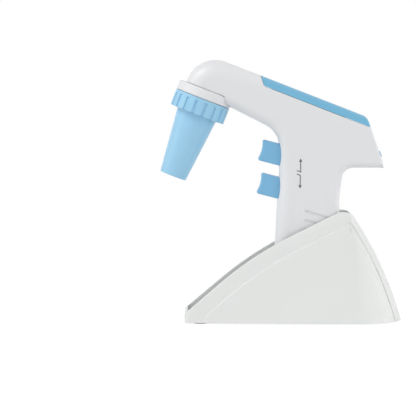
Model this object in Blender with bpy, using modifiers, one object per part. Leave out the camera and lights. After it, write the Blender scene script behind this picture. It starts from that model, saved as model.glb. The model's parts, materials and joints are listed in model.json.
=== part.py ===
# Pipette controller parked in its desk stand. Metres, +Z up, mid plane at y = 0.
# The nose points to -X and the display faces +X.

import math

import bmesh
import bpy
from mathutils import Matrix, Vector

# Clearances
GAP = 0.0003  # between pieces that seat on each other
RUNNING_GAP = 0.0004  # between pieces that slide on each other
POCKET_GAP = 0.0005  # between the handle and its pocket in the stand

# Controller, side view: the head leans along its own axis, the handle stands upright
HEAD_TILT = math.radians(21.3)
NOSE_X = -0.0585  # nose axis where the nosepiece meets its collar
NOSE_Z = 0.16685
NECK_R = 0.0163
ELBOW_R = 0.0228
HEAD_TOP = 0.0318  # above the collar's lower face, square to the head
HEAD_REAR_TOP_X = 0.0675  # a point of the sloping rear face
HEAD_REAR_TOP_Z = 0.1429
REAR_TILT = math.radians(18.8)
REAR_FLOOR_Z = 0.1154  # underside of the rear overhang
UNDERSIDE_H = 0.002  # head's underside where it would meet the neck
THROAT_X = -0.0013  # where the handle's front would meet the head's underside
THROAT_Z = 0.14175
THROAT_R = 0.019
GRIP_TOP_Z = 0.113
BUTT_Z = 0.013
BUTT_FRONT_X = -0.00735
BUTT_REAR_X = 0.0454
WAIST_X = 0.0432  # rear of the grip at its slimmest
WAIST_Z = 0.092
HEEL_X = 0.0462  # rear of the grip under the overhang
HEEL_R = 0.0085
BODY_HALF = 0.0165  # half the width of the head and handle
WALL = 0.0024
RUN_OUT = 0.022  # how far an outline runs past the plane that trims it
PARTING = 0.0003  # between the two housing halves
BITE = 0.00003  # a corner's fillet starts this much under the faces it joins

# Rounding of the long edges, by region
ROUND_HEAD = 0.0085
ROUND_ELBOW = 0.012
ROUND_NECK = 0.0145
ROUND_THROAT = 0.0075
ROUND_GRIP = 0.0085
ROUND_HEEL = 0.005
ROUND_OVERHANG = 0.003
REAR_TOP_R = 0.003
REAR_FOOT_R = 0.0038
LEAST_ROUNDING = 0.0003
ROUND_STEPS = 5
ARC_STEP = math.radians(10)
ARC_SAG = 0.0001  # most that a long arc's steps leave its curve

# Cover over the head
COVER_DEPTH = 0.0065
COVER_START = 0.0337
COVER_SLANT = 0.0052
COVER_WALL = 0.0022

# Nose
COLLAR_R = 0.0212
COLLAR_H = 0.0075
SPIGOT_R = 0.0172
SPIGOT_BORE_R = 0.0138
SPIGOT_DEPTH = 0.009
RING_H = 0.0126
CONE_R = 0.0154
TIP_R = 0.01015
CONE_END = 0.0621
CONE_WALL = 0.0022
RING_GROOVES = 18
RING_GROOVE_W = 0.0021
RING_GROOVE_DEPTH = 0.0009
RING_GROOVE_START = 0.0024  # below the ring's upper edge
RING_EDGE = 0.0006
ADAPTER_END = 0.050
FILTER_R = 0.0115
BARB_A = 0.005  # hose barb, ahead of the nose axis
BARB_R = 0.0015
BARB_L = 0.0095
HOSE_R = 0.002

# Triggers
TRIGGER_TILT = math.radians(14.5)
TRIGGER_FACES = {"aspirate": (-0.01595, 0.1287), "dispense": (-0.01695, 0.1039)}
TRIGGER_H = 0.0158
TRIGGER_W = 0.0175
TRIGGER_SAG = 0.0015
TRIGGER_TRAVEL = 0.006
TRIGGER_EDGE_R = 0.0009
TRIGGER_FRONT_R = 0.0012
TRIGGER_CORNER_R = 0.0014  # in the side view, more than the edge rounding there
SCALLOP_DEPTH = 0.0012  # finger hollow in the handle behind each trigger
SCALLOP_RUN = 0.0008  # past the trigger's edges
FLANGE_T = 0.0022
FLANGE_LIP = 0.0013
STEM_R = 0.0014
STEM_SOCKET = 0.004
STEM_IN_BLOCK = 0.005
SPRING_R = 0.0034
SPRING_WIRE_R = 0.0003
SPRING_TURNS = 4
SPRING_SEAT_R = SPRING_R + SPRING_WIRE_R + GAP
SEAT_DEPTH = 0.0012

# Valve block behind the triggers
BLOCK_X = 0.0155
BLOCK_D = 0.0125
BLOCK_H = 0.042
NOSE_PORT_RISE = 0.002  # ports above the block's middle
SUCTION_PORT_RISE = -0.005
PRESSURE_PORT_RISE = 0.001
SWITCH_SIZE = (0.0052, 0.0082, 0.0027)  # depth, width, height

# Speed button, display and electronics
BUTTON_UP = 0.0104  # along the rear face from its lower corner
BUTTON_H = 0.0054
BUTTON_W = 0.013
BUTTON_PROUD = 0.0012
BUTTON_TRAVEL = 0.0008
WINDOW_UP = 0.0215
WINDOW_H = 0.011
WINDOW_W = 0.020
LENS_T = 0.002
LCD_T = 0.0032
BOARD_T = 0.0016
PCB_START = 0.045
PCB_END = 0.104
PCB_LEVEL = 0.0242

# Pump and battery
PUMP_R = 0.012
PUMP_START = 0.070
MOTOR_L = 0.024
PUMP_HEAD_L = 0.020
PUMP_LEVEL = 0.0100
MOUNT_T = 0.003
CELL_R = 0.0092
CELL_L = 0.050
CELL_X = 0.019
CELL_Z = 0.0225
TRAY_WALL = 0.002

# Screws of the housing
BOSS_R = 0.004
SCREW_R = 0.0013
SCREW_HEAD_R = 0.0025
SCREW_HEAD_T = 0.002
SCREW_SINK = 0.0017
SCREW_L = 0.021

# Handle's end
CAP_T = 0.0022
CAP_PLUG = 0.004
SOCKET_R = 0.004
SOCKET_L = 0.008
SOCKET_SETBACK = 0.0095  # from the rear of the handle

# Grooves on the sides of the grip
GROOVE_COUNT = 5
GROOVE_W = 0.002
GROOVE_DEPTH = 0.0008
GROOVE_PITCH = 0.0069
GROOVE_X = 0.0186
GROOVE_Z = 0.0832
GROOVE_SLOPE = math.radians(18.5)
GROOVE_LEAN = 0.0006  # each groove starts this much further forward
GROOVE_L = 0.030

# Stand
STAND_FRONT_X = -0.0722
STAND_FOOT_X = 0.0905  # rear of the stand at the ground
STAND_LOW = 0.001
STAND_TOP = 0.089  # where the walls would meet the rim's highest point, before it is cut
STAND_REAR_R = 0.290
STAND_REAR_LEAN = math.radians(15.7)
STAND_LEAN = math.radians(14.2)
STAND_FRONT_HALF = 0.033
STAND_CREASE_HALF = 0.041
STAND_CREASE_X = 0.05175
STAND_CORNER_R = 0.004
STAND_WALL = 0.0025
LIP_Z = 0.0076
RIM_BEND_X = -0.0213
RIM_BEND_Z = 0.0509
RIM_BEND_R = 0.260
PEAK_X = 0.0502
PEAK_Z = 0.0860
PEAK_R = 0.011
PEAK_REAR_LEAN = math.radians(31.5)
BAND_W = 0.0114  # from the rim to the raised side panel
BAND_FRONT = 0.015
BAND_REAR = 0.0052
PANEL_RISE = 0.001
PANEL_R = 0.006
FOOT_R = 0.005
FOOT_T = 0.0017
PLATE_T = 0.0025
CRADLE_H = 0.030
CRADLE_WALL = 0.003
POST_R = 0.0035
POST_L = 0.008
STAND_SCREW_R = 0.0012


# Scene and materials

for old in list(bpy.data.objects):
    bpy.data.objects.remove(old, do_unlink=True)

parts = bpy.data.collections.new("pipette_controller")
cutters = bpy.data.collections.new("cutters")
for collection in (parts, cutters):
    bpy.context.scene.collection.children.link(collection)


def plastic(name, colour, roughness, metallic=0.0):
    material = bpy.data.materials.new(name)
    material.use_nodes = True
    shader = material.node_tree.nodes["Principled BSDF"]
    shader.inputs["Base Color"].default_value = (*colour, 1.0)
    shader.inputs["Roughness"].default_value = roughness
    shader.inputs["Metallic"].default_value = metallic
    return material


white_shell = plastic("white_abs", (0.76, 0.76, 0.77), 0.38)
stand_white = plastic("stand_abs", (0.72, 0.73, 0.72), 0.42)
sky_blue = plastic("sky_blue_abs", (0.25, 0.50, 0.71), 0.35)
cone_blue = plastic("light_blue_polypropylene", (0.36, 0.62, 0.82), 0.30)
clear_window = plastic("smoked_window", (0.05, 0.06, 0.07), 0.10)
silicone = plastic("silicone", (0.70, 0.72, 0.72), 0.55)
rubber = plastic("black_rubber", (0.03, 0.03, 0.03), 0.80)
board_green = plastic("circuit_board", (0.02, 0.16, 0.06), 0.50)
black_plastic = plastic("black_plastic", (0.02, 0.02, 0.02), 0.45)
steel = plastic("steel", (0.60, 0.60, 0.58), 0.30, 1.0)
brass = plastic("brass", (0.75, 0.58, 0.27), 0.30, 1.0)
cell_sleeve = plastic("cell_sleeve", (0.05, 0.13, 0.35), 0.40)
grey_nylon = plastic("grey_nylon", (0.30, 0.31, 0.32), 0.50)
membrane = plastic("filter_membrane", (0.80, 0.80, 0.76), 0.90)


# Frames that carry the pieces

def frame(name, location, tilt=0.0, parent=None):
    """An empty at a world place, turned about Y."""
    empty = bpy.data.objects.new(name, None)
    parts.objects.link(empty)
    world = Matrix.Translation(location) @ Matrix.Rotation(tilt, 4, "Y")
    if parent is not None:
        empty.parent = parent
        world = parent.matrix_world.inverted() @ world
    empty.matrix_basis = world
    bpy.context.view_layer.update()
    return empty


def nose_point(along, up):
    """World x and z of a point given along the head and up the nose axis."""
    x = NOSE_X + along * math.cos(HEAD_TILT) + up * math.sin(HEAD_TILT)
    z = NOSE_Z - along * math.sin(HEAD_TILT) + up * math.cos(HEAD_TILT)
    return x, z


def on_line(first, second, z):
    """The x of the line through two side-view points at a height."""
    share = (z - first[1]) / (second[1] - first[1])
    return first[0] + share * (second[0] - first[0])


GRIP_FRONT = ((THROAT_X, GRIP_TOP_Z), (BUTT_FRONT_X, BUTT_Z))
GRIP_REAR = ((WAIST_X, WAIST_Z), (BUTT_REAR_X, BUTT_Z))
REAR_FOOT_X = HEAD_REAR_TOP_X + (HEAD_REAR_TOP_Z - REAR_FLOOR_Z) * math.tan(REAR_TILT)
REAR_NORMAL = Vector((math.cos(REAR_TILT), 0, math.sin(REAR_TILT)))

gun = frame("gun_lift", ((BUTT_FRONT_X + BUTT_REAR_X) / 2, 0, BUTT_Z))
nose = frame("nose_axis", (NOSE_X, 0, NOSE_Z), HEAD_TILT, gun)
rear = frame("rear_face", (REAR_FOOT_X, 0, REAR_FLOOR_Z), -REAR_TILT, gun)
button_slide = frame("button_slide", rear.matrix_world @ Vector((0, 0, BUTTON_UP)), -REAR_TILT, gun)
holder = frame("pipette_holder", (NOSE_X, 0, NOSE_Z), HEAD_TILT, gun)
twist = frame("nosepiece_axis", (NOSE_X, 0, NOSE_Z), HEAD_TILT, holder)
slides = {}
for trigger, (face_x, face_z) in TRIGGER_FACES.items():
    slides[trigger] = frame(f"{trigger}_slide", (face_x, 0, face_z), TRIGGER_TILT, gun)


# Makers

def add(name, mesh, parent=None, material=None, at_parent=False):
    """A part in its parent's own coordinates, or in world coordinates that the parent then carries."""
    obj = bpy.data.objects.new(name, mesh)
    (parts if material else cutters).objects.link(obj)
    if material:
        mesh.materials.append(material)
    else:
        obj.hide_render = True
        obj.display_type = "WIRE"
    if parent is not None:
        obj.parent = parent
        if not at_parent:
            obj.matrix_parent_inverse = parent.matrix_world.inverted()
    return obj


def finished(name, bm, smooth=True):
    bmesh.ops.recalc_face_normals(bm, faces=bm.faces)
    mesh = bpy.data.meshes.new(name)
    bm.to_mesh(mesh)
    bm.free()
    if smooth:
        mesh.shade_smooth()
        mesh.set_sharp_from_angle(angle=math.radians(35))
    return mesh


def box(name, low, high, edge_r=0.0, edges_along=None):
    """A box between two corners, with its edges rounded along one axis or all round."""
    bm = bmesh.new()
    size = [h - l for l, h in zip(low, high)]
    middle = [(h + l) / 2 for l, h in zip(low, high)]
    bmesh.ops.create_cube(bm, size=1, matrix=Matrix.Translation(middle) @ Matrix.Diagonal((*size, 1)))
    if edge_r:
        rounded = [
            e for e in bm.edges
            if edges_along is None or abs((e.verts[0].co - e.verts[1].co)[edges_along]) > 1e-6
        ]
        bmesh.ops.bevel(bm, geom=rounded, offset=edge_r, segments=3, profile=0.5, affect="EDGES")
    return finished(name, bm)


def cylinder(name, radius, low, high, axis="Z", centre=(0, 0), sides=24, top_radius=None):
    """A cylinder between two levels of one axis, centred on the other two."""
    bm = bmesh.new()
    turn = {
        "Z": Matrix.Identity(4),
        "Y": Matrix.Rotation(math.radians(-90), 4, "X"),
        "X": Matrix.Rotation(math.radians(90), 4, "Y"),
    }[axis]
    level = (low + high) / 2
    place = {
        "Z": (centre[0], centre[1], level),
        "Y": (centre[0], level, centre[1]),
        "X": (level, centre[0], centre[1]),
    }[axis]
    bmesh.ops.create_cone(
        bm, cap_ends=True, segments=sides, radius1=radius,
        radius2=radius if top_radius is None else top_radius,
        depth=high - low, matrix=Matrix.Translation(place) @ turn,
    )
    return finished(name, bm)


def turned(name, profile, parent, material, sides=44, closed=True):
    """A profile of (radius, height) turned about the parent's Z axis, outer side first from the top down."""
    mesh = bpy.data.meshes.new(name)
    points = [(radius, 0, height) for radius, height in profile]
    edges = [(i, i + 1) for i in range(len(points) - 1)]
    if closed:
        edges.append((len(points) - 1, 0))
    mesh.from_pydata(points, edges, [])
    obj = add(name, mesh, parent, material, at_parent=True)
    screw = obj.modifiers.new("turn", "SCREW")
    screw.axis = "Z"
    screw.angle = math.tau
    screw.steps = sides
    screw.render_steps = sides
    screw.use_merge_vertices = True
    screw.merge_threshold = 0.00001
    screw.use_smooth_shade = True
    return obj


def prism(name, points, y_low, y_high, parent=None, material=None, at_parent=False):
    """A side-view outline of (x, z) points, extruded along Y."""
    bm = bmesh.new()
    verts = [bm.verts.new((x, y_low, z)) for x, z in points]
    face = bm.faces.new(verts)
    grown = bmesh.ops.extrude_face_region(bm, geom=[face])
    moved = [v for v in grown["geom"] if isinstance(v, bmesh.types.BMVert)]
    bmesh.ops.translate(bm, verts=moved, vec=(0, y_high - y_low, 0))
    return add(name, finished(name, bm), parent, material, at_parent)


def boolean(obj, cutter, operation="DIFFERENCE"):
    step = obj.modifiers.new(cutter.name, "BOOLEAN")
    step.operation = operation
    step.object = cutter
    step.solver = "EXACT"


def rounded_outline(corners):
    """Points of an outline given by (x, z, fillet radius, edge rounding), counter-clockwise.

    Each point comes with the direction into the shape and the edge rounding there."""
    points = []
    for i, (x, z, fillet, rounding) in enumerate(corners):
        here = Vector((x, z))
        into = (here - Vector(corners[i - 1][:2])).normalized()
        out = (Vector(corners[(i + 1) % len(corners)][:2]) - here).normalized()
        inward_before = Vector((-into.y, into.x))
        inward_after = Vector((-out.y, out.x))
        if not fillet:
            miter = (inward_before + inward_after) / (1 + inward_before.dot(inward_after))
            points.append((here, miter, rounding))
            continue
        side = math.copysign(1, into.x * out.y - into.y * out.x)
        angle = math.acos(max(-1.0, min(1.0, into.dot(out))))
        start = here - into * fillet * math.tan(angle / 2)
        centre = start + inward_before * fillet * side
        fine = math.ceil(angle / (2 * math.acos(1 - min(ARC_SAG / fillet, 0.5))))
        steps = max(2, round(angle / ARC_STEP), fine)
        for k in range(steps + 1):
            inward = inward_before.copy()
            inward.rotate(Matrix.Rotation(side * angle * k / steps, 2))
            points.append((centre - inward * fillet * side, inward, rounding))
    return points


def flat_outline(corners):
    return [tuple(point) for point, _, _ in rounded_outline([(*c, 0) for c in corners])]


def bridge(bm, rings):
    """Skins a row of rings that have the same number of points, and caps both ends."""
    rows = [[bm.verts.new(p) for p in ring] for ring in rings]
    for lower, upper in zip(rows, rows[1:]):
        for i in range(len(lower)):
            j = (i + 1) % len(lower)
            bm.faces.new((lower[i], lower[j], upper[j], upper[i]))
    bm.faces.new(reversed(rows[0]))
    bm.faces.new(rows[-1])


def rounded_plate(corners, half, inset=0.0):
    """A plate whose two faces run into its sides through each corner's edge rounding."""
    outline = rounded_outline(corners)
    rings = []
    for side in (-1, 1):
        steps = range(ROUND_STEPS, -1, -1) if side < 0 else range(ROUND_STEPS + 1)
        for k in steps:
            turn = math.radians(90) * k / ROUND_STEPS
            ring = []
            for point, inward, rounding in outline:
                radius = max(rounding - inset, LEAST_ROUNDING)
                place = point + inward * (inset + radius * (1 - math.cos(turn)))
                level = half - inset - radius * (1 - math.sin(turn))
                ring.append((place.x, side * level, place.y))
            rings.append(ring)
    bm = bmesh.new()
    bridge(bm, rings)
    return bm


def trim(bm, point, normal):
    """Cuts away what lies beyond a plane and closes the cut."""
    geometry = bm.verts[:] + bm.edges[:] + bm.faces[:]
    cut = bmesh.ops.bisect_plane(bm, geom=geometry, plane_co=point, plane_no=normal, clear_outer=True)
    rim = [e for e in cut["geom_cut"] if isinstance(e, bmesh.types.BMEdge)]
    bmesh.ops.holes_fill(bm, edges=rim, sides=0)


def corner_cutter(name, corner, normal_a, normal_b, radius, steps=4):
    """Prism that rounds the edge between two flat faces, given by side-view normals."""
    centre = corner - (normal_a + normal_b) * (radius + BITE) / (1 + normal_a.dot(normal_b))
    arc = [centre + normal_a.slerp(normal_b, k / steps) * radius for k in range(steps + 1)]
    outside = corner + (normal_a + normal_b) * radius
    beyond = [arc[-1] + normal_b * radius, outside, arc[0] + normal_a * radius]
    return prism(name, [tuple(point) for point in arc + beyond], -0.03, 0.03)


# Controller body

def body_corners():
    """Side view of head and handle, counter-clockwise: (x, z, fillet, edge rounding)."""
    low = BUTT_Z - RUN_OUT
    head_end = (HEAD_REAR_TOP_X - NOSE_X) / math.cos(HEAD_TILT) + RUN_OUT / 2
    far_top = nose_point(head_end, HEAD_TOP)
    return [
        (on_line(*GRIP_FRONT, low), low, 0, ROUND_GRIP),
        (on_line(*GRIP_REAR, low), low, 0, ROUND_HEEL),
        (WAIST_X, WAIST_Z, 0.060, ROUND_HEEL),
        (HEEL_X, REAR_FLOOR_Z, HEEL_R, ROUND_HEEL),
        (REAR_FOOT_X + RUN_OUT, REAR_FLOOR_Z, 0, ROUND_OVERHANG),
        (*far_top, 0, ROUND_HEAD),
        (*nose_point(NECK_R + ELBOW_R, HEAD_TOP), 0, ROUND_HEAD),
        (*nose_point(-NECK_R, HEAD_TOP), ELBOW_R, ROUND_ELBOW),
        (*nose_point(-NECK_R, -RUN_OUT), 0, ROUND_NECK),
        (*nose_point(NECK_R, -RUN_OUT), 0, ROUND_NECK),
        (*nose_point(NECK_R, UNDERSIDE_H), 0, ROUND_THROAT),
        (THROAT_X, THROAT_Z, THROAT_R, ROUND_THROAT),
        (THROAT_X, GRIP_TOP_Z, 0.150, ROUND_GRIP),
    ]


def body_solid(name, inset=0.0, foot=BUTT_Z, parent=None, material=None):
    """Head and handle as one solid, moved in from the outer surface by an inset."""
    bm = rounded_plate(body_corners(), BODY_HALF, inset)
    rear_point = Vector((REAR_FOOT_X, 0, REAR_FLOOR_Z)) - REAR_NORMAL * inset
    trim(bm, rear_point, REAR_NORMAL)
    trim(bm, Vector((0, 0, foot)), Vector((0, 0, -1)))
    bmesh.ops.triangulate(bm, faces=[f for f in bm.faces if len(f.verts) > 4])
    return add(name, finished(name, bm), parent, material)


def rear_corners():
    """Cutters that round the top and the foot of the rear face."""
    rear_normal = Vector((math.cos(REAR_TILT), math.sin(REAR_TILT)))
    head_normal = Vector((math.sin(HEAD_TILT), math.cos(HEAD_TILT)))
    along = Vector((math.cos(HEAD_TILT), -math.sin(HEAD_TILT)))
    foot = Vector((REAR_FOOT_X, REAR_FLOOR_Z))
    start = Vector(nose_point(0, HEAD_TOP))
    top = start + along * (foot - start).dot(rear_normal) / along.dot(rear_normal)
    return [
        corner_cutter("rear_top_corner", top, head_normal, rear_normal, REAR_TOP_R),
        corner_cutter("rear_foot_corner", foot, rear_normal, Vector((0, -1)), REAR_FOOT_R),
    ]


def cover_region(name, clearance, y_half=0.03):
    """Side-view wedge that the cover takes from the head, grown by a clearance, as a cutter."""
    low = HEAD_TOP - COVER_DEPTH - clearance
    high = HEAD_TOP + 0.02
    slope = COVER_SLANT / COVER_DEPTH
    start = COVER_START - clearance
    far = (HEAD_REAR_TOP_X - NOSE_X) / math.cos(HEAD_TILT) + RUN_OUT
    points = [
        nose_point(start - (high - HEAD_TOP) * slope, high),
        nose_point(start + (HEAD_TOP - low) * slope, low),
        nose_point(far, low),
        nose_point(far, high),
    ]
    return prism(name, points, -y_half, y_half)


BOSSES = [
    nose_point(-0.004, 0.0215),
    nose_point(0.044, 0.0062),
    (0.060, REAR_FLOOR_Z + WALL + BOSS_R),
    (on_line(*GRIP_FRONT, 0.026) + WALL + BOSS_R * 0.9, 0.026),
    (on_line(*GRIP_REAR, 0.026) - WALL - BOSS_R * 0.9, 0.026),
]


def grooves(name):
    """Slanted grooves with round ends on both sides of the grip, as one cutter."""
    bm = bmesh.new()
    deep = BODY_HALF - GROOVE_DEPTH
    for side in (-1, 1):
        for k in range(GROOVE_COUNT):
            start = Vector((GROOVE_X - k * GROOVE_LEAN, 0, GROOVE_Z - k * GROOVE_PITCH))
            turn = Matrix.Translation(start) @ Matrix.Rotation(GROOVE_SLOPE, 4, "Y")
            outline = flat_outline([
                (-GROOVE_W / 2, -GROOVE_W / 2, GROOVE_W * 0.49),
                (GROOVE_L, -GROOVE_W / 2, 0),
                (GROOVE_L, GROOVE_W / 2, 0),
                (-GROOVE_W / 2, GROOVE_W / 2, GROOVE_W * 0.49),
            ])
            rings = []
            for y in sorted((side * deep, side * (BODY_HALF + 0.004))):
                rings.append([turn @ Vector((x, y, z)) for x, z in outline])
            bridge(bm, rings)
    return add(name, finished(name, bm))


def trigger_slot(trigger):
    half_w = TRIGGER_W / 2 + GAP
    half_h = TRIGGER_H / 2 + GAP
    mesh = box(f"{trigger}_slot", (0.006, -half_w, -half_h), (0.026, half_w, half_h))
    return add(f"{trigger}_slot", mesh, slides[trigger], at_parent=True)


def finger_scallop(trigger):
    """Shallow hollow across the handle's front where a trigger enters it, as a cutter."""
    face_x, face_z = TRIGGER_FACES[trigger]
    level = face_z - (THROAT_X - face_x) * math.tan(TRIGGER_TILT)
    reach = TRIGGER_H / 2 + SCALLOP_RUN
    arc = []
    steps = 10
    for k in range(steps + 1):
        share = 2 * k / steps - 1
        z = level + share * reach
        front_x = THROAT_X if z > GRIP_TOP_Z else on_line(*GRIP_FRONT, z)
        arc.append((front_x + SCALLOP_DEPTH * (1 - share ** 2), z))
    ahead = THROAT_X - 0.004
    outline = arc + [(ahead, level + reach), (ahead, level - reach)]
    return prism(f"{trigger}_scallop", outline, -0.03, 0.03)


def rear_opening(name, up, height, width):
    low = (-2 * WALL, -width / 2, up - height / 2)
    high = (WALL, width / 2, up + height / 2)
    return add(name, box(name, low, high, 0.001, 0), rear, at_parent=True)


def housing(foot_corner):
    window = rear_opening("window_opening", WINDOW_UP, WINDOW_H, WINDOW_W)
    button_hole = rear_opening("button_opening", BUTTON_UP, BUTTON_H, BUTTON_W)
    collar_mesh = cylinder("collar_pocket", COLLAR_R + GAP, -1.2 * RUN_OUT, COLLAR_H, sides=48)
    collar_pocket = add("collar_pocket", collar_mesh, nose, at_parent=True)
    cavity = body_solid("cavity", WALL, BUTT_Z - 0.005)
    for i, (x, z) in enumerate(BOSSES):
        name = f"screw_boss_{i + 1}"
        mesh = cylinder(name, BOSS_R, -BODY_HALF, BODY_HALF, "Y", (x, z), 20)
        boolean(cavity, add(name, mesh))
    seat = cover_region("cover_seat", 0)
    slots = [trigger_slot(trigger) for trigger in TRIGGER_FACES]
    scallops = [finger_scallop(trigger) for trigger in TRIGGER_FACES]
    groove_cut = grooves("grip_grooves")
    for side, name in ((-1, "housing_left"), (1, "housing_right")):
        half = body_solid(name, 0, BUTT_Z + CAP_T + GAP, gun, white_shell)
        boolean(half, cavity)
        inner = PARTING / 2
        keep_low, keep_high = sorted((side * inner, side * (BODY_HALF + 0.01)))
        for cutter in (seat, collar_pocket, foot_corner, window, button_hole, *scallops, *slots, groove_cut):
            boolean(half, cutter)
        hole_far = BODY_HALF + 0.002 if side > 0 else BODY_HALF - WALL - 0.002
        for i, (x, z) in enumerate(BOSSES):
            low, high = sorted((-side * 0.002, side * hole_far))
            hole_mesh = cylinder(f"{name}_hole_{i + 1}", SCREW_R + GAP, low, high, "Y", (x, z), 16)
            boolean(half, add(f"{name}_hole_{i + 1}", hole_mesh))
            if side > 0:
                floor = BODY_HALF - SCREW_SINK - SCREW_HEAD_T - GAP
                sink_mesh = cylinder(
                    f"screw_sink_{i + 1}", SCREW_HEAD_R + GAP, floor, BODY_HALF + 0.002, "Y", (x, z), 20
                )
                boolean(half, add(f"screw_sink_{i + 1}", sink_mesh))
        mesh = box(f"{name}_side", (-0.12, keep_low, -0.01), (0.12, keep_high, 0.22))
        boolean(half, add(f"{name}_side", mesh), "INTERSECT")


def housing_screws():
    top = BODY_HALF - SCREW_SINK
    for i, (x, z) in enumerate(BOSSES):
        name = f"housing_screw_{i + 1}"
        bm = bmesh.new()
        middle = top - SCREW_HEAD_T / 2
        head = Matrix.Translation((x, middle, z)) @ Matrix.Rotation(math.radians(-90), 4, "X")
        bmesh.ops.create_cone(
            bm, cap_ends=True, segments=16, radius1=SCREW_HEAD_R, radius2=SCREW_HEAD_R * 0.85,
            depth=SCREW_HEAD_T, matrix=head,
        )
        screw = add(name, finished(name, bm), gun, steel)
        shank_mesh = cylinder(f"{name}_shank", SCREW_R, middle - SCREW_L, middle, "Y", (x, z), 12)
        boolean(screw, add(f"{name}_shank", shank_mesh), "UNION")
        drive_low = (x - 0.0016, top - 0.0009, z - 0.0004)
        drive_high = (x + 0.0016, top + 0.001, z + 0.0004)
        boolean(screw, add(f"{name}_drive", box(f"{name}_drive", drive_low, drive_high)))


def top_cover(top_corner):
    cover = body_solid("top_cover", 0, BUTT_Z, gun, sky_blue)
    boolean(cover, top_corner)
    boolean(cover, cover_region("cover_share", -GAP), "INTERSECT")
    boolean(cover, body_solid("cover_hollow", COVER_WALL, BUTT_Z - 0.005))


def end_cap():
    """Plate across the end of the handle, with a plug that fits inside the housing."""
    cap = body_solid("handle_end_cap", 0, BUTT_Z, gun, white_shell)
    plate = box("cap_share", (-0.03, -0.03, 0), (0.07, 0.03, BUTT_Z + CAP_T))
    boolean(cap, add("cap_share", plate), "INTERSECT")
    plug = body_solid("cap_plug", WALL + GAP, BUTT_Z + CAP_T / 2)
    plug_box = box("cap_plug_share", (-0.03, -0.03, 0), (0.07, 0.03, BUTT_Z + CAP_T + CAP_PLUG))
    boolean(plug, add("cap_plug_share", plug_box), "INTERSECT")
    hollow = body_solid("cap_plug_hollow", 2 * WALL + GAP, BUTT_Z + CAP_T)
    boolean(plug, hollow)
    boolean(cap, plug, "UNION")
    socket_x = BUTT_REAR_X - SOCKET_SETBACK
    hole = cylinder("charge_hole", SOCKET_R + GAP, BUTT_Z - 0.01, BUTT_Z + 0.02, "Z", (socket_x, 0), 24)
    boolean(cap, add("charge_hole", hole))
    mesh = cylinder("charge_socket", SOCKET_R, BUTT_Z + 0.0002, BUTT_Z + SOCKET_L, "Z", (socket_x, 0), 24)
    socket = add("charge_socket", mesh, gun, black_plastic)
    bore = cylinder("charge_bore", 0.00275, BUTT_Z - 0.01, BUTT_Z + SOCKET_L * 0.8, "Z", (socket_x, 0), 20)
    boolean(socket, add("charge_bore", bore))


# Nose

def cone_radius(depth):
    """Outer radius of the cone at a depth below the collar's lower face."""
    share = (depth - RING_H) / (CONE_END - RING_H)
    return CONE_R + share * (TIP_R - CONE_R)


def nose_collar():
    """White collar with the threaded spigot below, and a boss and a hose barb above."""
    boss_r = NECK_R - WALL - 2 * GAP
    profile = [
        (0, COLLAR_H + 0.004),
        (boss_r, COLLAR_H + 0.004),
        (boss_r, COLLAR_H - GAP),
        (COLLAR_R - 0.0006, COLLAR_H - GAP),
        (COLLAR_R, COLLAR_H - GAP - 0.0006),
        (COLLAR_R, GAP / 2),
        (SPIGOT_R, GAP / 2),
        (SPIGOT_R, -SPIGOT_DEPTH),
        (SPIGOT_BORE_R, -SPIGOT_DEPTH),
        (SPIGOT_BORE_R, COLLAR_H / 3),
        (0, COLLAR_H / 3),
    ]
    collar = turned("nose_collar", profile, nose, white_shell, closed=False)
    barb = cylinder("nose_barb", BARB_R + 0.0006, COLLAR_H, COLLAR_H + BARB_L, "Z", (BARB_A, 0), 16)
    boolean(collar, add("nose_barb", barb, nose, at_parent=True), "UNION")
    port = cylinder("nose_port", BARB_R - 0.0005, 0, COLLAR_H + 0.02, "Z", (BARB_A, 0), 12)
    boolean(collar, add("nose_port", port, nose, at_parent=True))


def nosepiece():
    """Grooved ring and cone in one moulding, screwed over the spigot."""
    spigot_end = SPIGOT_DEPTH + GAP
    wall_top = spigot_end + 0.0016
    profile = [
        (COLLAR_R, -GAP / 2),
        (COLLAR_R, -(RING_H - RING_EDGE)),
        (COLLAR_R - RING_EDGE, -RING_H),
        (CONE_R, -RING_H),
        (TIP_R, -(CONE_END - 0.0006)),
        (TIP_R - 0.0006, -CONE_END),
        (cone_radius(CONE_END) - CONE_WALL, -CONE_END),
        (cone_radius(wall_top) - CONE_WALL, -wall_top),
        (cone_radius(wall_top) - CONE_WALL, -spigot_end),
        (SPIGOT_R + GAP, -spigot_end),
        (SPIGOT_R + GAP, -GAP / 2),
    ]
    piece = turned("nosepiece", profile, twist, cone_blue)
    bm = bmesh.new()
    top = -GAP / 2 - RING_GROOVE_START
    low = -RING_H - RING_EDGE
    deep = COLLAR_R - RING_GROOVE_DEPTH
    out = COLLAR_R + RING_GROOVE_DEPTH
    size = (out - deep, RING_GROOVE_W, top - low)
    for k in range(RING_GROOVES):
        turn = Matrix.Rotation(math.radians(90) + math.tau * (k + 0.5) / RING_GROOVES, 4, "Z")
        place = turn @ Matrix.Translation(((out + deep) / 2, 0, (top + low) / 2))
        bmesh.ops.create_cube(bm, size=1, matrix=place @ Matrix.Diagonal((*size, 1)))
    grooves_mesh = finished("ring_grooves", bm)
    boolean(piece, add("ring_grooves", grooves_mesh, twist, at_parent=True))


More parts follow.
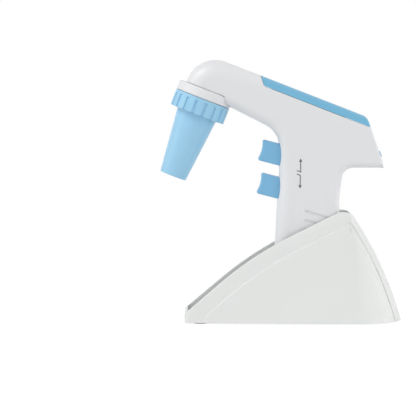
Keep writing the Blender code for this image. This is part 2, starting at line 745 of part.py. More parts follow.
def pipette_parts():
    """Silicone sleeve that grips the pipette, its membrane filter and the seal above it."""
    top = SPIGOT_DEPTH + 2 * GAP
    flange = cone_radius(top) - CONE_WALL - GAP
    under = top + 0.003
    profile = [
        (flange, -top),
        (cone_radius(under) - CONE_WALL - GAP, -under),
        (cone_radius(ADAPTER_END) - CONE_WALL - GAP, -ADAPTER_END),
        (0.0055, -ADAPTER_END),
        (0.0038, -ADAPTER_END * 0.72),
        (0.0030, -ADAPTER_END * 0.45),
        (0.0024, -top),
    ]
    turned("pipette_adapter", profile, holder, silicone, 32)
    filter_top = 0.0040
    filter_low = filter_top + 0.0028
    turned("nose_filter", [
        (0, -filter_top), (FILTER_R, -filter_top), (FILTER_R, -filter_low), (0, -filter_low)
    ], holder, membrane, 32, closed=False)
    seal_out = SPIGOT_BORE_R - 2 * GAP
    turned("nose_seal", [
        (seal_out, -filter_low - GAP),
        (seal_out, -top + GAP),
        (FILTER_R - 0.0025, -top + GAP),
        (FILTER_R - 0.0025, -filter_low - GAP),
    ], holder, rubber, 32)


# Triggers

def wall_depth(trigger, z):
    """Depth of the handle wall's inner side below a trigger's face, at a level of its pad."""
    face_x, face_z = TRIGGER_FACES[trigger]
    sine, cosine = math.sin(TRIGGER_TILT), math.cos(TRIGGER_TILT)
    foot_lean = (GRIP_FRONT[0][0] - GRIP_FRONT[1][0]) / (GRIP_FRONT[0][1] - GRIP_FRONT[1][1])
    lean = 0 if face_z - TRIGGER_H / 2 > GRIP_TOP_Z else foot_lean
    inner_x = THROAT_X + WALL - lean * (GRIP_TOP_Z - face_z - z * cosine)
    return (inner_x - face_x - z * sine) / (cosine + lean * sine)


def switch_top(trigger):
    """Level of a switch's upper end, just below the flange of the trigger when that is pressed."""
    lip = TRIGGER_H / 2 + FLANGE_LIP
    deepest = wall_depth(trigger, -lip) + 2 * GAP + FLANGE_T + TRIGGER_TRAVEL
    drop = deepest * math.sin(TRIGGER_TILT) + lip * math.cos(TRIGGER_TILT)
    return TRIGGER_FACES[trigger][1] - drop - 3 * GAP


def trigger_pieces(trigger):
    """A finger pad with a concave face, its stem, its return spring and the switch under it."""
    slide = slides[trigger]
    half_h = TRIGGER_H / 2

    def wall_at(z, behind=0.0):
        return wall_depth(trigger, z) + behind

    lip = half_h + FLANGE_LIP
    stop = 2 * GAP
    arc = []
    face_r = (half_h ** 2 + TRIGGER_SAG ** 2) / (2 * TRIGGER_SAG)
    steps = 10
    for k in range(2, steps - 1):
        z = half_h - TRIGGER_H * k / steps
        depth = TRIGGER_SAG - (face_r - math.sqrt(face_r ** 2 - z ** 2))
        arc.append((depth, z, 0, TRIGGER_FRONT_R))
    corners = [
        (wall_at(-half_h, stop + FLANGE_T / 2), -half_h, 0, TRIGGER_EDGE_R),
        (wall_at(half_h, stop + FLANGE_T / 2), half_h, 0, TRIGGER_EDGE_R),
        (0, half_h, TRIGGER_CORNER_R, TRIGGER_FRONT_R),
        *arc,
        (0, -half_h, TRIGGER_CORNER_R, TRIGGER_FRONT_R),
    ]
    half_w = TRIGGER_W / 2
    bm = rounded_plate(corners, half_w)
    bmesh.ops.triangulate(bm, faces=[f for f in bm.faces if len(f.verts) > 4])
    pad = add(f"{trigger}_trigger", finished(f"{trigger}_trigger", bm), slide, sky_blue, at_parent=True)
    flange = [
        (wall_at(-lip, stop), -lip),
        (wall_at(-lip, stop + FLANGE_T), -lip),
        (wall_at(lip, stop + FLANGE_T), lip),
        (wall_at(lip, stop), lip),
    ]
    flange_half = half_w - GAP
    flange_name = f"{trigger}_flange"
    boolean(pad, prism(flange_name, flange, -flange_half, flange_half, slide, at_parent=True), "UNION")
    back = wall_at(0, stop + FLANGE_T)
    socket = cylinder(f"{trigger}_socket", STEM_R + GAP, back - STEM_SOCKET, back + 0.01, "X", (0, 0), 16)
    boolean(pad, add(f"{trigger}_socket", socket, slide, at_parent=True))
    block = block_front(trigger)
    stem_end = block + STEM_IN_BLOCK
    stem = cylinder(f"{trigger}_stem", STEM_R, back - STEM_SOCKET + GAP, stem_end, "X", (0, 0), 16)
    add(f"{trigger}_stem", stem, slide, brass, at_parent=True)
    seat = cylinder(f"{trigger}_spring_seat", SPRING_SEAT_R, back - GAP, back + 0.01, "X", (0, 0), 20)
    boolean(pad, add(f"{trigger}_spring_seat", seat, slide, at_parent=True))
    coil(f"{trigger}_spring", back + SPRING_WIRE_R, block + SEAT_DEPTH - SPRING_WIRE_R - GAP, slide)
    depth, width, height = SWITCH_SIZE
    top = switch_top(trigger)
    face = BLOCK_X - GAP
    mesh = box(
        f"{trigger}_switch", (face - depth, -width / 2, top - height), (face, width / 2, top), 0.0004
    )
    add(f"{trigger}_switch", mesh, gun, black_plastic)


def block_front(trigger):
    """Depth of the valve block's front face below a trigger's own face."""
    return (BLOCK_X - TRIGGER_FACES[trigger][0]) / math.cos(TRIGGER_TILT)


def block_middle():
    """Level halfway between the upper spring's seat and the lower switch, where the block is centred."""
    seat_z = TRIGGER_FACES["aspirate"][1] - block_front("aspirate") * math.sin(TRIGGER_TILT)
    seat_top = seat_z + SPRING_SEAT_R / math.cos(TRIGGER_TILT)
    switch_low = switch_top("dispense") - SWITCH_SIZE[2]
    return (seat_top + switch_low) / 2


def coil(name, start, end, slide):
    """A compression spring along the slide, centred on the stem."""
    curve = bpy.data.curves.new(name, "CURVE")
    curve.dimensions = "3D"
    spline = curve.splines.new("POLY")
    per_turn = 8
    count = SPRING_TURNS * per_turn
    spline.points.add(count)
    for k in range(count + 1):
        angle = math.tau * k / per_turn
        x = start + (end - start) * k / count
        spline.points[k].co = (x, SPRING_R * math.cos(angle), SPRING_R * math.sin(angle), 1)
    curve.bevel_depth = SPRING_WIRE_R
    curve.bevel_resolution = 2
    curve.use_fill_caps = True
    obj = bpy.data.objects.new(name, curve)
    parts.objects.link(obj)
    curve.materials.append(steel)
    obj.parent = gun
    obj.matrix_world = slide.matrix_world
    return obj


def valve_block():
    """Block that the stems slide in, held between the two housing halves."""
    half = BODY_HALF - WALL - GAP
    low = (BLOCK_X, -half, block_middle() - BLOCK_H / 2)
    high = (BLOCK_X + BLOCK_D, half, block_middle() + BLOCK_H / 2)
    block = add("valve_block", box("valve_block", low, high, 0.0008), gun, grey_nylon)
    for trigger, slide in slides.items():
        front = block_front(trigger)
        deep = front + STEM_IN_BLOCK + TRIGGER_TRAVEL + GAP
        bore = cylinder(f"{trigger}_bore", STEM_R + GAP, front - 0.003, deep, "X", (0, 0), 16)
        boolean(block, add(f"{trigger}_bore", bore, slide, at_parent=True))
        deep = front + SEAT_DEPTH
        seat = cylinder(f"{trigger}_block_seat", SPRING_SEAT_R, front - 0.003, deep, "X", (0, 0), 20)
        boolean(block, add(f"{trigger}_block_seat", seat, slide, at_parent=True))


# Display, button and electronics

def display_and_button():
    lens_out = -GAP
    wall_in = -WALL
    lens_mesh = box(
        "display_lens",
        (lens_out - LENS_T, -WINDOW_W / 2 + GAP, WINDOW_UP - WINDOW_H / 2 + GAP),
        (lens_out, WINDOW_W / 2 - GAP, WINDOW_UP + WINDOW_H / 2 - GAP),
        0.0008, 0,
    )
    add("display_lens", lens_mesh, rear, clear_window, at_parent=True)
    side = BODY_HALF - WALL - GAP
    lcd_face = wall_in - GAP
    lcd_mesh = box(
        "lcd_module",
        (lcd_face - LCD_T, -side, WINDOW_UP - WINDOW_H / 2 - 0.0012),
        (lcd_face, side, WINDOW_UP + WINDOW_H / 2 + 0.001),
        0.0004,
    )
    add("lcd_module", lcd_mesh, rear, black_plastic, at_parent=True)
    board_face = lcd_face - LCD_T - GAP
    board_mesh = box(
        "display_board",
        (board_face - BOARD_T, -side, ROUND_OVERHANG + WALL + 0.004),
        (board_face, side, WINDOW_UP + WINDOW_H / 2),
    )
    add("display_board", board_mesh, rear, board_green, at_parent=True)

    half_w = BUTTON_W / 2 - GAP
    half_h = BUTTON_H / 2 - GAP
    button_low = (wall_in - GAP, -half_w, -half_h)
    button_mesh = box("speed_button", button_low, (BUTTON_PROUD, half_w, half_h), 0.0006)
    button = add("speed_button", button_mesh, button_slide, sky_blue, at_parent=True)
    flange_low = (wall_in - GAP - 0.0010, -half_w - 0.0012, -half_h - 0.0012)
    flange_high = (wall_in - GAP, half_w + 0.0012, half_h + 0.0012)
    flange_mesh = box("button_flange", flange_low, flange_high)
    flange = add("button_flange", flange_mesh, button_slide, at_parent=True)
    boolean(button, flange, "UNION")
    reach = wall_in - 2 * GAP - 0.0010 - BUTTON_TRAVEL
    switch_low = (board_face + GAP, -0.003, BUTTON_UP - 0.0025)
    switch_mesh = box("speed_switch", switch_low, (reach, 0.003, BUTTON_UP + 0.0025), 0.0003)
    add("speed_switch", switch_mesh, rear, black_plastic, at_parent=True)


def main_board():
    """Circuit board under the cover."""
    half = 0.0132
    low = (PCB_START, -half, PCB_LEVEL)
    high = (PCB_END, half, PCB_LEVEL + BOARD_T)
    board_mesh = box("circuit_board", low, high, 0.0015, 2)
    board = add("circuit_board", board_mesh, nose, board_green, at_parent=True)
    chips = ((0.062, 0.012, 0.012, 0.0014), (0.084, 0.010, 0.008, 0.0024))
    for i, (along, length, width, height) in enumerate(chips):
        top = PCB_LEVEL + BOARD_T
        mesh = box(
            f"board_chip_{i + 1}",
            (along - length / 2, -width / 2, top - 0.0005),
            (along + length / 2, width / 2, top + height),
        )
        boolean(board, add(f"board_chip_{i + 1}", mesh, nose, at_parent=True), "UNION")


def pump():
    """Membrane pump under the board, on two rubber mounts."""
    motor_end = PUMP_START + MOTOR_L
    motor = cylinder("pump_motor", PUMP_R, PUMP_START, motor_end, "X", (0, PUMP_LEVEL), 32)
    add("pump_motor", motor, nose, steel, at_parent=True)
    low = (motor_end + GAP, -PUMP_R, PUMP_LEVEL - PUMP_R)
    high = (motor_end + GAP + PUMP_HEAD_L, PUMP_R, PUMP_LEVEL + PUMP_R)
    add("pump_head", box("pump_head", low, high, 0.002, 0), nose, grey_nylon, at_parent=True)
    for i, along in enumerate((PUMP_START + 0.003, motor_end - 0.003 - MOUNT_T)):
        name = ("pump_mount_front", "pump_mount_rear")[i]
        outer = BODY_HALF - WALL - GAP
        ring_mesh = cylinder(name, outer, along, along + MOUNT_T, "X", (0, PUMP_LEVEL), 32)
        ring = add(name, ring_mesh, nose, rubber, at_parent=True)
        hole = cylinder(f"{name}_hole", PUMP_R + GAP, along - 0.01, along + 0.01, "X", (0, PUMP_LEVEL), 32)
        boolean(ring, add(f"{name}_hole", hole, nose, at_parent=True))


def battery():
    """One cell in a tray that is held between the housing halves."""
    side = BODY_HALF - WALL - GAP
    cell = cylinder("battery_cell", CELL_R, CELL_Z, CELL_Z + CELL_L, "Z", (CELL_X, 0), 32)
    add("battery_cell", cell, gun, cell_sleeve)
    reach = CELL_R + TRAY_WALL + GAP
    floor = CELL_Z - GAP
    mesh = box("battery_tray", (CELL_X - reach, -side, floor - TRAY_WALL),
               (CELL_X + reach, 0.002, CELL_Z + CELL_L + GAP + TRAY_WALL), 0.001, 2)
    tray = add("battery_tray", mesh, gun, black_plastic)
    room = cylinder("battery_room", CELL_R + GAP, floor, CELL_Z + CELL_L + GAP, "Z", (CELL_X, 0), 32)
    boolean(tray, add("battery_room", room))


def hose(name, route):
    """A flexible hose on a smooth curve through its route's points."""
    knots = [Vector(p) for p in route]
    knots = [2 * knots[0] - knots[1]] + knots + [2 * knots[-1] - knots[-2]]
    points = []
    per_span = 4
    for i in range(1, len(knots) - 2):
        p0, p1, p2, p3 = knots[i - 1:i + 3]
        last = i == len(knots) - 3
        for k in range(per_span + (1 if last else 0)):
            t = k / per_span
            points.append(0.5 * (
                2 * p1 + (p2 - p0) * t + (2 * p0 - 5 * p1 + 4 * p2 - p3) * t ** 2
                + (3 * p1 - p0 - 3 * p2 + p3) * t ** 3
            ))
    curve = bpy.data.curves.new(name, "CURVE")
    curve.dimensions = "3D"
    spline = curve.splines.new("POLY")
    spline.points.add(len(points) - 1)
    for point, place in zip(spline.points, points):
        point.co = (*place, 1)
    curve.bevel_depth = HOSE_R
    curve.bevel_resolution = 2
    curve.use_fill_caps = True
    curve.materials.append(silicone)
    obj = bpy.data.objects.new(name, curve)
    parts.objects.link(obj)
    obj.parent = gun
    obj.matrix_parent_inverse = gun.matrix_world.inverted()
    return obj


def in_nose(along, y, up):
    x, z = nose_point(along, up)
    return x, y, z


def hoses():
    barb_top = COLLAR_H + BARB_L + RUNNING_GAP + 0.0001
    aside = 0.0109
    front = BLOCK_X - GAP
    port = block_middle() + NOSE_PORT_RISE
    hose("nose_hose", [
        in_nose(BARB_A, 0, barb_top),
        in_nose(BARB_A, 0, barb_top + 0.002),
        in_nose(BARB_A + 0.0050, 0.0010, barb_top + 0.0052),
        in_nose(0.020, 0.0040, 0.0215),
        in_nose(0.034, 0.0080, 0.0185),
        in_nose(0.046, aside, 0.0155),
        in_nose(0.056, aside, 0.0090),
        in_nose(0.063, aside, 0.0010),
        (0.0070, aside, 0.1325),
        (0.0092, aside, 0.1240),
        (0.0088, aside, port + 0.0080),
        (0.0098, aside, port + 0.0020),
        (front - 0.0025, aside, port),
        (front, aside, port),
    ])
    back = BLOCK_X + BLOCK_D + GAP
    under = PUMP_LEVEL - PUMP_R - 2 * GAP
    along = PUMP_START + MOTOR_L + GAP + PUMP_HEAD_L / 2
    apart = PUMP_R / 2
    ends = (("suction_hose", -apart, SUCTION_PORT_RISE), ("pressure_hose", apart, PRESSURE_PORT_RISE))
    for name, y, rise in ends:
        port_z = block_middle() + rise
        hose(name, [
            in_nose(along, y, under),
            in_nose(along, y, under - 0.004),
            (back + 0.0068, y, port_z + 0.0080),
            (back + 0.0052, y, port_z + 0.0014),
            (back + 0.0020, y, port_z),
            (back, y, port_z),
        ])


# Stand

def stand_rear_x(z):
    """Rear surface of the stand on the mid plane, an arc that leans forward."""
    centre_x = STAND_FOOT_X - STAND_REAR_R * math.cos(STAND_REAR_LEAN)
    centre_z = -STAND_REAR_R * math.sin(STAND_REAR_LEAN)
    return centre_x + math.sqrt(STAND_REAR_R ** 2 - (z - centre_z) ** 2)


def stand_half(x, z, inset):
    """Half the stand's width at a place along its straight sides."""
    slope = (STAND_CREASE_HALF - STAND_FRONT_HALF) / (STAND_CREASE_X - STAND_FRONT_X)
    lean = z * math.tan(STAND_LEAN) + inset / math.cos(STAND_LEAN)
    return STAND_FRONT_HALF + (x - STAND_FRONT_X) * slope - lean


def stand_ring(z, inset):
    """Plan of the stand at a height: straight sides that widen to the crease, then half an ellipse."""
    front = STAND_FRONT_X + inset
    crease = STAND_CREASE_X - 1.2 * inset
    half_front = stand_half(front, z, inset)
    half_crease = stand_half(crease, z, inset)
    depth = max(stand_rear_x(z) - inset / math.cos(STAND_REAR_LEAN) - crease, 0.0006)
    near = []
    corner_steps = 3
    radius = STAND_CORNER_R - inset
    for k in range(corner_steps + 1):
        turn = math.radians(90) * k / corner_steps
        near.append((front + radius * (1 - math.sin(turn)), -half_front + radius * (1 - math.cos(turn))))
    rear_steps = 20
    rear_points = []
    for k in range(rear_steps + 1):
        turn = math.radians(-90) + math.radians(180) * k / rear_steps
        rear_points.append((crease + depth * math.cos(turn), half_crease * math.sin(turn)))
    far = [(x, -y) for x, y in near]
    ring = near[::-1] + rear_points + far
    return [(x, y, z) for x, y in ring]


def stand_solid(name, inset, low, high, material=None, levels=8):
    bm = bmesh.new()
    bridge(bm, [stand_ring(low + (high - low) * k / levels, inset) for k in range(levels + 1)])
    bmesh.ops.triangulate(bm, faces=[f for f in bm.faces if len(f.verts) > 4])
    return add(name, finished(name, bm), None, material)


def rim_corners(drop, rear_drop):
    """Side view of the stand's rim, moved inward by a drop and its rear slope forward, as (x, z, fillet)."""
    rise = (RIM_BEND_Z - LIP_Z) / (RIM_BEND_X - STAND_FRONT_X)
    climb = (PEAK_Z - RIM_BEND_Z) / (PEAK_X - RIM_BEND_X)
    fall = -1 / math.tan(PEAK_REAR_LEAN)
    front_base = LIP_Z - rise * STAND_FRONT_X - drop * math.hypot(1, rise)
    top_base = RIM_BEND_Z - climb * RIM_BEND_X - drop * math.hypot(1, climb)
    rear_base = PEAK_Z - fall * (PEAK_X - rear_drop)
    bend_x = (top_base - front_base) / (rise - climb)
    peak_x = (rear_base - top_base) / (climb - fall)
    bend = (bend_x, front_base + rise * bend_x, RIM_BEND_R)
    peak = (peak_x, top_base + climb * peak_x, PEAK_R)
    return bend, peak, lambda x: front_base + rise * x


def stand_shell():
    below = STAND_LOW - 0.004
    shell = stand_solid("stand_shell", 0, below, STAND_TOP, stand_white)
    boolean(shell, stand_panels(), "UNION")
    bend, peak, ramp = rim_corners(0, 0)
    before = STAND_FRONT_X - 0.01
    profile = flat_outline([
        (before, STAND_LOW, 0),
        (peak[0] + (peak[1] - STAND_LOW) * math.tan(PEAK_REAR_LEAN), STAND_LOW, 0),
        peak,
        bend,
        (before, ramp(before), 0),
    ])
    boolean(shell, prism("stand_profile", profile, -0.06, 0.06), "INTERSECT")
    boolean(shell, stand_solid("stand_hollow", STAND_WALL, below, STAND_TOP - 0.001))
    return shell


def stand_panels():
    """The raised side panels inside a band along the rim, as one solid."""
    bend, peak, ramp = rim_corners(BAND_W, BAND_REAR)
    front = STAND_FRONT_X + BAND_FRONT
    low = STAND_LOW - 0.007
    rear = []
    steps = 14
    for k in range(steps + 1):
        z = low + (peak[1] - low) * k / steps
        on_slope = PEAK_X + (PEAK_Z - z) * math.tan(PEAK_REAR_LEAN)
        if stand_rear_x(z) < on_slope:
            rear.append((stand_rear_x(z) - BAND_REAR, z, 0))
    corners = [(front, low, 0)] + rear + [(peak[0], peak[1], PANEL_R), bend, (front, ramp(front), 0.001)]
    panels = stand_solid("stand_panels", -PANEL_RISE, STAND_LOW - 0.006, STAND_TOP - 0.0005)
    boolean(panels, prism("panel_outline", flat_outline(corners), -0.06, 0.06), "INTERSECT")
    return panels


def stand_posts():
    """Places of the screw posts, which stand against the side walls."""
    top = FOOT_T + GAP + PLATE_T + GAP + POST_L
    along = (STAND_FRONT_X + 0.022, STAND_CREASE_X - 0.012)
    return [(x, stand_half(x, top, STAND_WALL) - POST_R * 0.4) for x in along]


def stand_base():
    floor = FOOT_T + GAP
    plate_inset = STAND_WALL + 2 * GAP
    plate = stand_solid("stand_base_plate", plate_inset, floor, floor + PLATE_T, stand_white, 1)
    places = [(x, side * y) for x, y in stand_posts() for side in (-1, 1)]
    post_low = floor + PLATE_T + GAP
    shell = bpy.data.objects["stand_shell"]
    for i, (x, y) in enumerate(places):
        name = f"stand_screw_{i + 1}"
        hole = cylinder(f"{name}_hole", STAND_SCREW_R + GAP, -0.001, post_low + POST_L, "Z", (x, y), 16)
        boolean(plate, add(f"{name}_hole", hole))
        head_mesh = cylinder(name, STAND_SCREW_R * 2, floor - GAP - 0.0012, floor - GAP, "Z", (x, y), 16)
        screw = add(name, head_mesh, None, steel)
        tip = post_low + POST_L - 0.0031
        shank = cylinder(f"{name}_shank", STAND_SCREW_R, floor - GAP - 0.0006, tip, "Z", (x, y), 12)
        boolean(screw, add(f"{name}_shank", shank), "UNION")
        post = cylinder(f"stand_post_{i + 1}", POST_R, post_low, post_low + POST_L, "Z", (x, y), 20)
        boolean(shell, add(f"stand_post_{i + 1}", post), "UNION")
        pilot_name = f"stand_pilot_{i + 1}"
        pilot_r = STAND_SCREW_R + GAP
        pilot = cylinder(pilot_name, pilot_r, post_low - 0.002, tip + 0.0015, "Z", (x, y), 16)
        boolean(shell, add(pilot_name, pilot))
    feet = [(STAND_FRONT_X + 0.012, 0.022), (0.056, 0.024)]
    for i, (x, y) in enumerate([(x, side * y) for x, y in feet for side in (-1, 1)]):
        mesh = cylinder(f"stand_foot_{i + 1}", FOOT_R, 0, FOOT_T, "Z", (x, y), 24)
        add(f"stand_foot_{i + 1}", mesh, None, rubber)


def stand_cradle():
    """Pocket that holds the end of the handle upright."""
    floor = FOOT_T + GAP + PLATE_T + GAP
    grow = CRADLE_WALL + POCKET_GAP
    low = (BUTT_FRONT_X - grow, -BODY_HALF - grow, floor)
    high = (BUTT_REAR_X + grow, BODY_HALF + grow, floor + CRADLE_H)
    cradle = add("stand_cradle", box("stand_cradle", low, high, 0.005, 2), None, grey_nylon)
    pocket_low = (BUTT_FRONT_X - POCKET_GAP, -BODY_HALF - POCKET_GAP, BUTT_Z - GAP)
    pocket_high = (BUTT_REAR_X + POCKET_GAP, BODY_HALF + POCKET_GAP, floor + CRADLE_H + 0.01)
    boolean(cradle, add("cradle_pocket", box("cradle_pocket", pocket_low, pocket_high, 0.004, 2)))
    drain_low = (BUTT_FRONT_X + 0.008, -BODY_HALF + 0.008, floor - 0.002)
    drain_high = (BUTT_REAR_X - 0.008, BODY_HALF - 0.008, BUTT_Z + 0.005)
    boolean(cradle, add("cradle_drain", box("cradle_drain", drain_low, drain_high, 0.002, 2)))


rear_top, rear_foot = rear_corners()
housing(rear_foot)
housing_screws()
top_cover(rear_top)
end_cap()
nose_collar()
nosepiece()
pipette_parts()
for trigger in TRIGGER_FACES:
    trigger_pieces(trigger)
valve_block()
display_and_button()
main_board()
pump()
battery()
hoses()
stand_shell()
stand_base()
stand_cradle()
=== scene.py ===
# Pipette controller in its desk stand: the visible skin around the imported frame. Metres, +Z up.
# The nose points to -X, the display faces +X, and the camera looks along +Y.
import json
import math
from contextlib import contextmanager

import bmesh
import bpy
import numpy as np
from mathutils import Matrix, Vector


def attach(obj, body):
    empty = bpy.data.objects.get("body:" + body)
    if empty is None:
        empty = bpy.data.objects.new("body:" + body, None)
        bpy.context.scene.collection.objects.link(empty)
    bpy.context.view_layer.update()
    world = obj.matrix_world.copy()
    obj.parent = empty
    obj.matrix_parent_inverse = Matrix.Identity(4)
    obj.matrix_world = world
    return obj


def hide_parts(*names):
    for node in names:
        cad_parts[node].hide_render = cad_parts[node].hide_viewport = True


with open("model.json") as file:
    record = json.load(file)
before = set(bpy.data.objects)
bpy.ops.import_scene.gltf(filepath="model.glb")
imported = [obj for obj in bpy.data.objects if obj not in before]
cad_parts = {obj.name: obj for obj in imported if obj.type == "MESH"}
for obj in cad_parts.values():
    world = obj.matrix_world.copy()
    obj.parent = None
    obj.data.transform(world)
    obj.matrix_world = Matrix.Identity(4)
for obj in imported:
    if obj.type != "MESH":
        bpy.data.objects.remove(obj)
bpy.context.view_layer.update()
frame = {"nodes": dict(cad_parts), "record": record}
nodes = frame["nodes"]
scene = bpy.context.scene


# The photograph: square, scaled on the trigger pitch and the nosepiece's mouth
photo = dict(pixels=416, metresPerPixel=0.00075, originX=281, groundY=321, distance=2.5, tilt=math.radians(2.8))


def linked(name, data):
    obj = bpy.data.objects.new(name, data)
    scene.collection.objects.link(obj)
    return obj


def placeCamera():
    # the frame's middle pixel, seen from the side and a little above
    pixel, distance, tilt = photo["metresPerPixel"], photo["distance"], photo["tilt"]
    middleX = (photo["pixels"] / 2 - photo["originX"]) * pixel
    middleZ = (photo["groundY"] - photo["pixels"] / 2) * pixel
    data = bpy.data.cameras.new("camera")
    data.sensor_width = 36
    data.lens = data.sensor_width * distance / (photo["pixels"] * pixel)
    data.clip_start, data.clip_end = 0.05, 20
    camera = linked("camera", data)
    camera.location = (middleX, -distance * math.cos(tilt), middleZ + distance * math.sin(tilt))
    camera.rotation_euler = (math.radians(90) - tilt, 0, 0)
    scene.camera = camera


placeCamera()
print("camera placed")


# Studio: a white table, soft boxes and an even room

studio = dict(room=0.44, floor="#F7F7F7", floorGlow=0.72, glow=1.2, aim=(0, 0, 0.1), tableRadius=1.0)
lamps = dict(  # place, size and watts of each soft box
    keyFront=((-0.75, -1.15, 0.85), (0.8, 0.8), 1.45),
    leftHigh=((-0.85, -0.45, 1.15), (0.5, 0.5), 6.3),
    sideLeft=((-1.35, -0.25, 0.45), (0.8, 0.9), 2.6),
    frontRight=((0.95, -1.0, 0.45), (0.8, 0.9), 3.8),
    sideRight=((1.35, -0.15, 0.45), (0.8, 0.9), 3.5),
    backRight=((1.2, 0.4, 0.5), (0.6, 0.8), 2.0),
)


def areaLight(name, place, size, power):
    data = bpy.data.lights.new(name, "AREA")
    data.shape = "RECTANGLE"
    data.size, data.size_y = size
    data.energy = power
    lamp = linked(name, data)
    lamp.location = place
    lamp.rotation_euler = (Vector(studio["aim"]) - Vector(place)).to_track_quat("-Z", "Y").to_euler()


def makeStudio():
    # soft boxes, and a room that lights evenly and looks white to the camera, in gloss and through clear pieces
    scene.view_settings.view_transform = "Standard"
    for name, (place, size, power) in lamps.items():
        areaLight(name, place, size, power)
    world = bpy.data.worlds.new("room")
    scene.world = world
    world.use_nodes = True
    tree = world.node_tree
    tree.nodes.clear()
    ray = addNode(tree, "ShaderNodeLightPath").outputs
    direct = addNode(tree, "ShaderNodeMath", dict(operation="MAXIMUM"),
                     {0: ray["Is Camera Ray"], 1: ray["Is Transmission Ray"]})
    seen = addNode(tree, "ShaderNodeMath", dict(operation="MAXIMUM"), {0: direct.outputs[0], 1: ray["Is Glossy Ray"]})
    ambient = addNode(tree, "ShaderNodeBackground", inputs={"Color": (1, 1, 1, 1), "Strength": studio["room"]})
    white = addNode(tree, "ShaderNodeBackground", inputs={"Color": (1, 1, 1, 1), "Strength": 1.0})
    mix = addNode(tree, "ShaderNodeMixShader", inputs={0: seen.outputs[0], 1: ambient.outputs[0], 2: white.outputs[0]})
    addNode(tree, "ShaderNodeOutputWorld", inputs={"Surface": mix.outputs[0]})
    makeFloor()


def makeFloor():
    # level table top: (r cos a, r sin a, 0). Paper keeps the shadow, and a share of glow meets the white of the room.
    rings, sides = 4, 64
    r = np.linspace(0, studio["tableRadius"], rings + 1)[1:, None]
    a = np.linspace(0, math.tau, sides, endpoint=False)[None]
    grid = np.stack((r * np.cos(a), r * np.sin(a), 0 * r * a), -1)
    mesh = bpy.data.meshes.new("tableTop")
    mesh.from_pydata(grid.reshape(-1, 3).tolist(), [], gridFaces(rings, sides) + [list(range(sides - 1, -1, -1))])
    material, tree = newMaterial("whitePaper")
    ray = addNode(tree, "ShaderNodeLightPath").outputs
    rays = {0: ray["Is Camera Ray"], 1: ray["Is Glossy Ray"]}
    seen = addNode(tree, "ShaderNodeMath", dict(operation="MAXIMUM"), rays)
    share = addNode(tree, "ShaderNodeMath", dict(operation="MULTIPLY"), {0: seen.outputs[0], 1: studio["floorGlow"]})
    paper = addNode(tree, "ShaderNodeBsdfDiffuse", inputs={"Color": hexColour(studio["floor"])})
    glow = addNode(tree, "ShaderNodeEmission", inputs={"Color": (1, 1, 1, 1), "Strength": studio["glow"]})
    mix = addNode(tree, "ShaderNodeMixShader", inputs={0: share.outputs[0], 1: paper.outputs[0], 2: glow.outputs[0]})
    addNode(tree, "ShaderNodeOutputMaterial", inputs={"Surface": mix.outputs[0]})
    mesh.materials.append(material)
    linked("tableTop", mesh)


# Materials

def hexColour(text):
    # sRGB hex to linear
    channels = np.array([int(text[i:i + 2], 16) for i in (1, 3, 5)]) / 255
    linear = np.where(channels <= 0.04045, channels / 12.92, ((channels + 0.055) / 1.055) ** 2.4)
    return (*[float(c) for c in linear], 1.0)


def addNode(tree, kind, settings=None, inputs=None):
    # one node: plain settings by name, and inputs by name or number that are values or other nodes' outputs
    node = tree.nodes.new(kind)
    for key, value in (settings or {}).items():
        setattr(node, key, value)
    for key, value in (inputs or {}).items():
        if isinstance(value, bpy.types.NodeSocket):
            tree.links.new(value, node.inputs[key])
        else:
            node.inputs[key].default_value = value
    return node


def newMaterial(name):
    material = bpy.data.materials.new(name)
    material.use_nodes = True
    material.node_tree.nodes.clear()
    return material, material.node_tree


patternSize = dict(flow=0.045, wear=0.012, streak=0.0006)  # metres across a cloud in the melt, a worn patch, a streak


def mouldedPlastic(name, colour, roughness=0.4, ior=1.5, grain=0.00035, grainDepth=0.00001, cloud=0.02, coat=0.0):
    # injection-moulded polymer: even colour with a faint flow cloud, a fine spark-eroded grain, slightly uneven gloss
    material, tree = newMaterial(name)
    place = addNode(tree, "ShaderNodeTexCoord").outputs["Object"]
    flow, wear, texture = [
        addNode(tree, "ShaderNodeTexNoise", inputs=dict(Vector=place, Scale=1 / size, Detail=detail)).outputs["Fac"]
        for size, detail in ((patternSize["flow"], 3.0), (patternSize["wear"], 4.0), (grain, 2.0))
    ]
    base = np.array(hexColour(colour))[:3]
    darker, lighter = [tuple(float(c) for c in np.append(np.minimum(base * (1 + shift), 1), 1))
                       for shift in (-cloud, cloud)]
    tint = addNode(tree, "ShaderNodeMix", dict(data_type="RGBA"), {0: flow, 6: darker, 7: lighter})
    gloss = addNode(tree, "ShaderNodeMapRange", inputs={
        "Value": wear, "From Min": 0.3, "From Max": 0.7, "To Min": roughness * 0.9, "To Max": min(roughness * 1.1, 1.0),
    })
    bump = addNode(tree, "ShaderNodeBump", inputs={"Height": texture, "Distance": grainDepth, "Strength": 1.0})
    shader = addNode(tree, "ShaderNodeBsdfPrincipled", inputs={
        "Base Color": tint.outputs[2], "Roughness": gloss.outputs["Result"], "Normal": bump.outputs["Normal"],
        "IOR": ior, "Coat Weight": coat,
    })
    addNode(tree, "ShaderNodeOutputMaterial", inputs={"Surface": shader.outputs["BSDF"]})
    return material


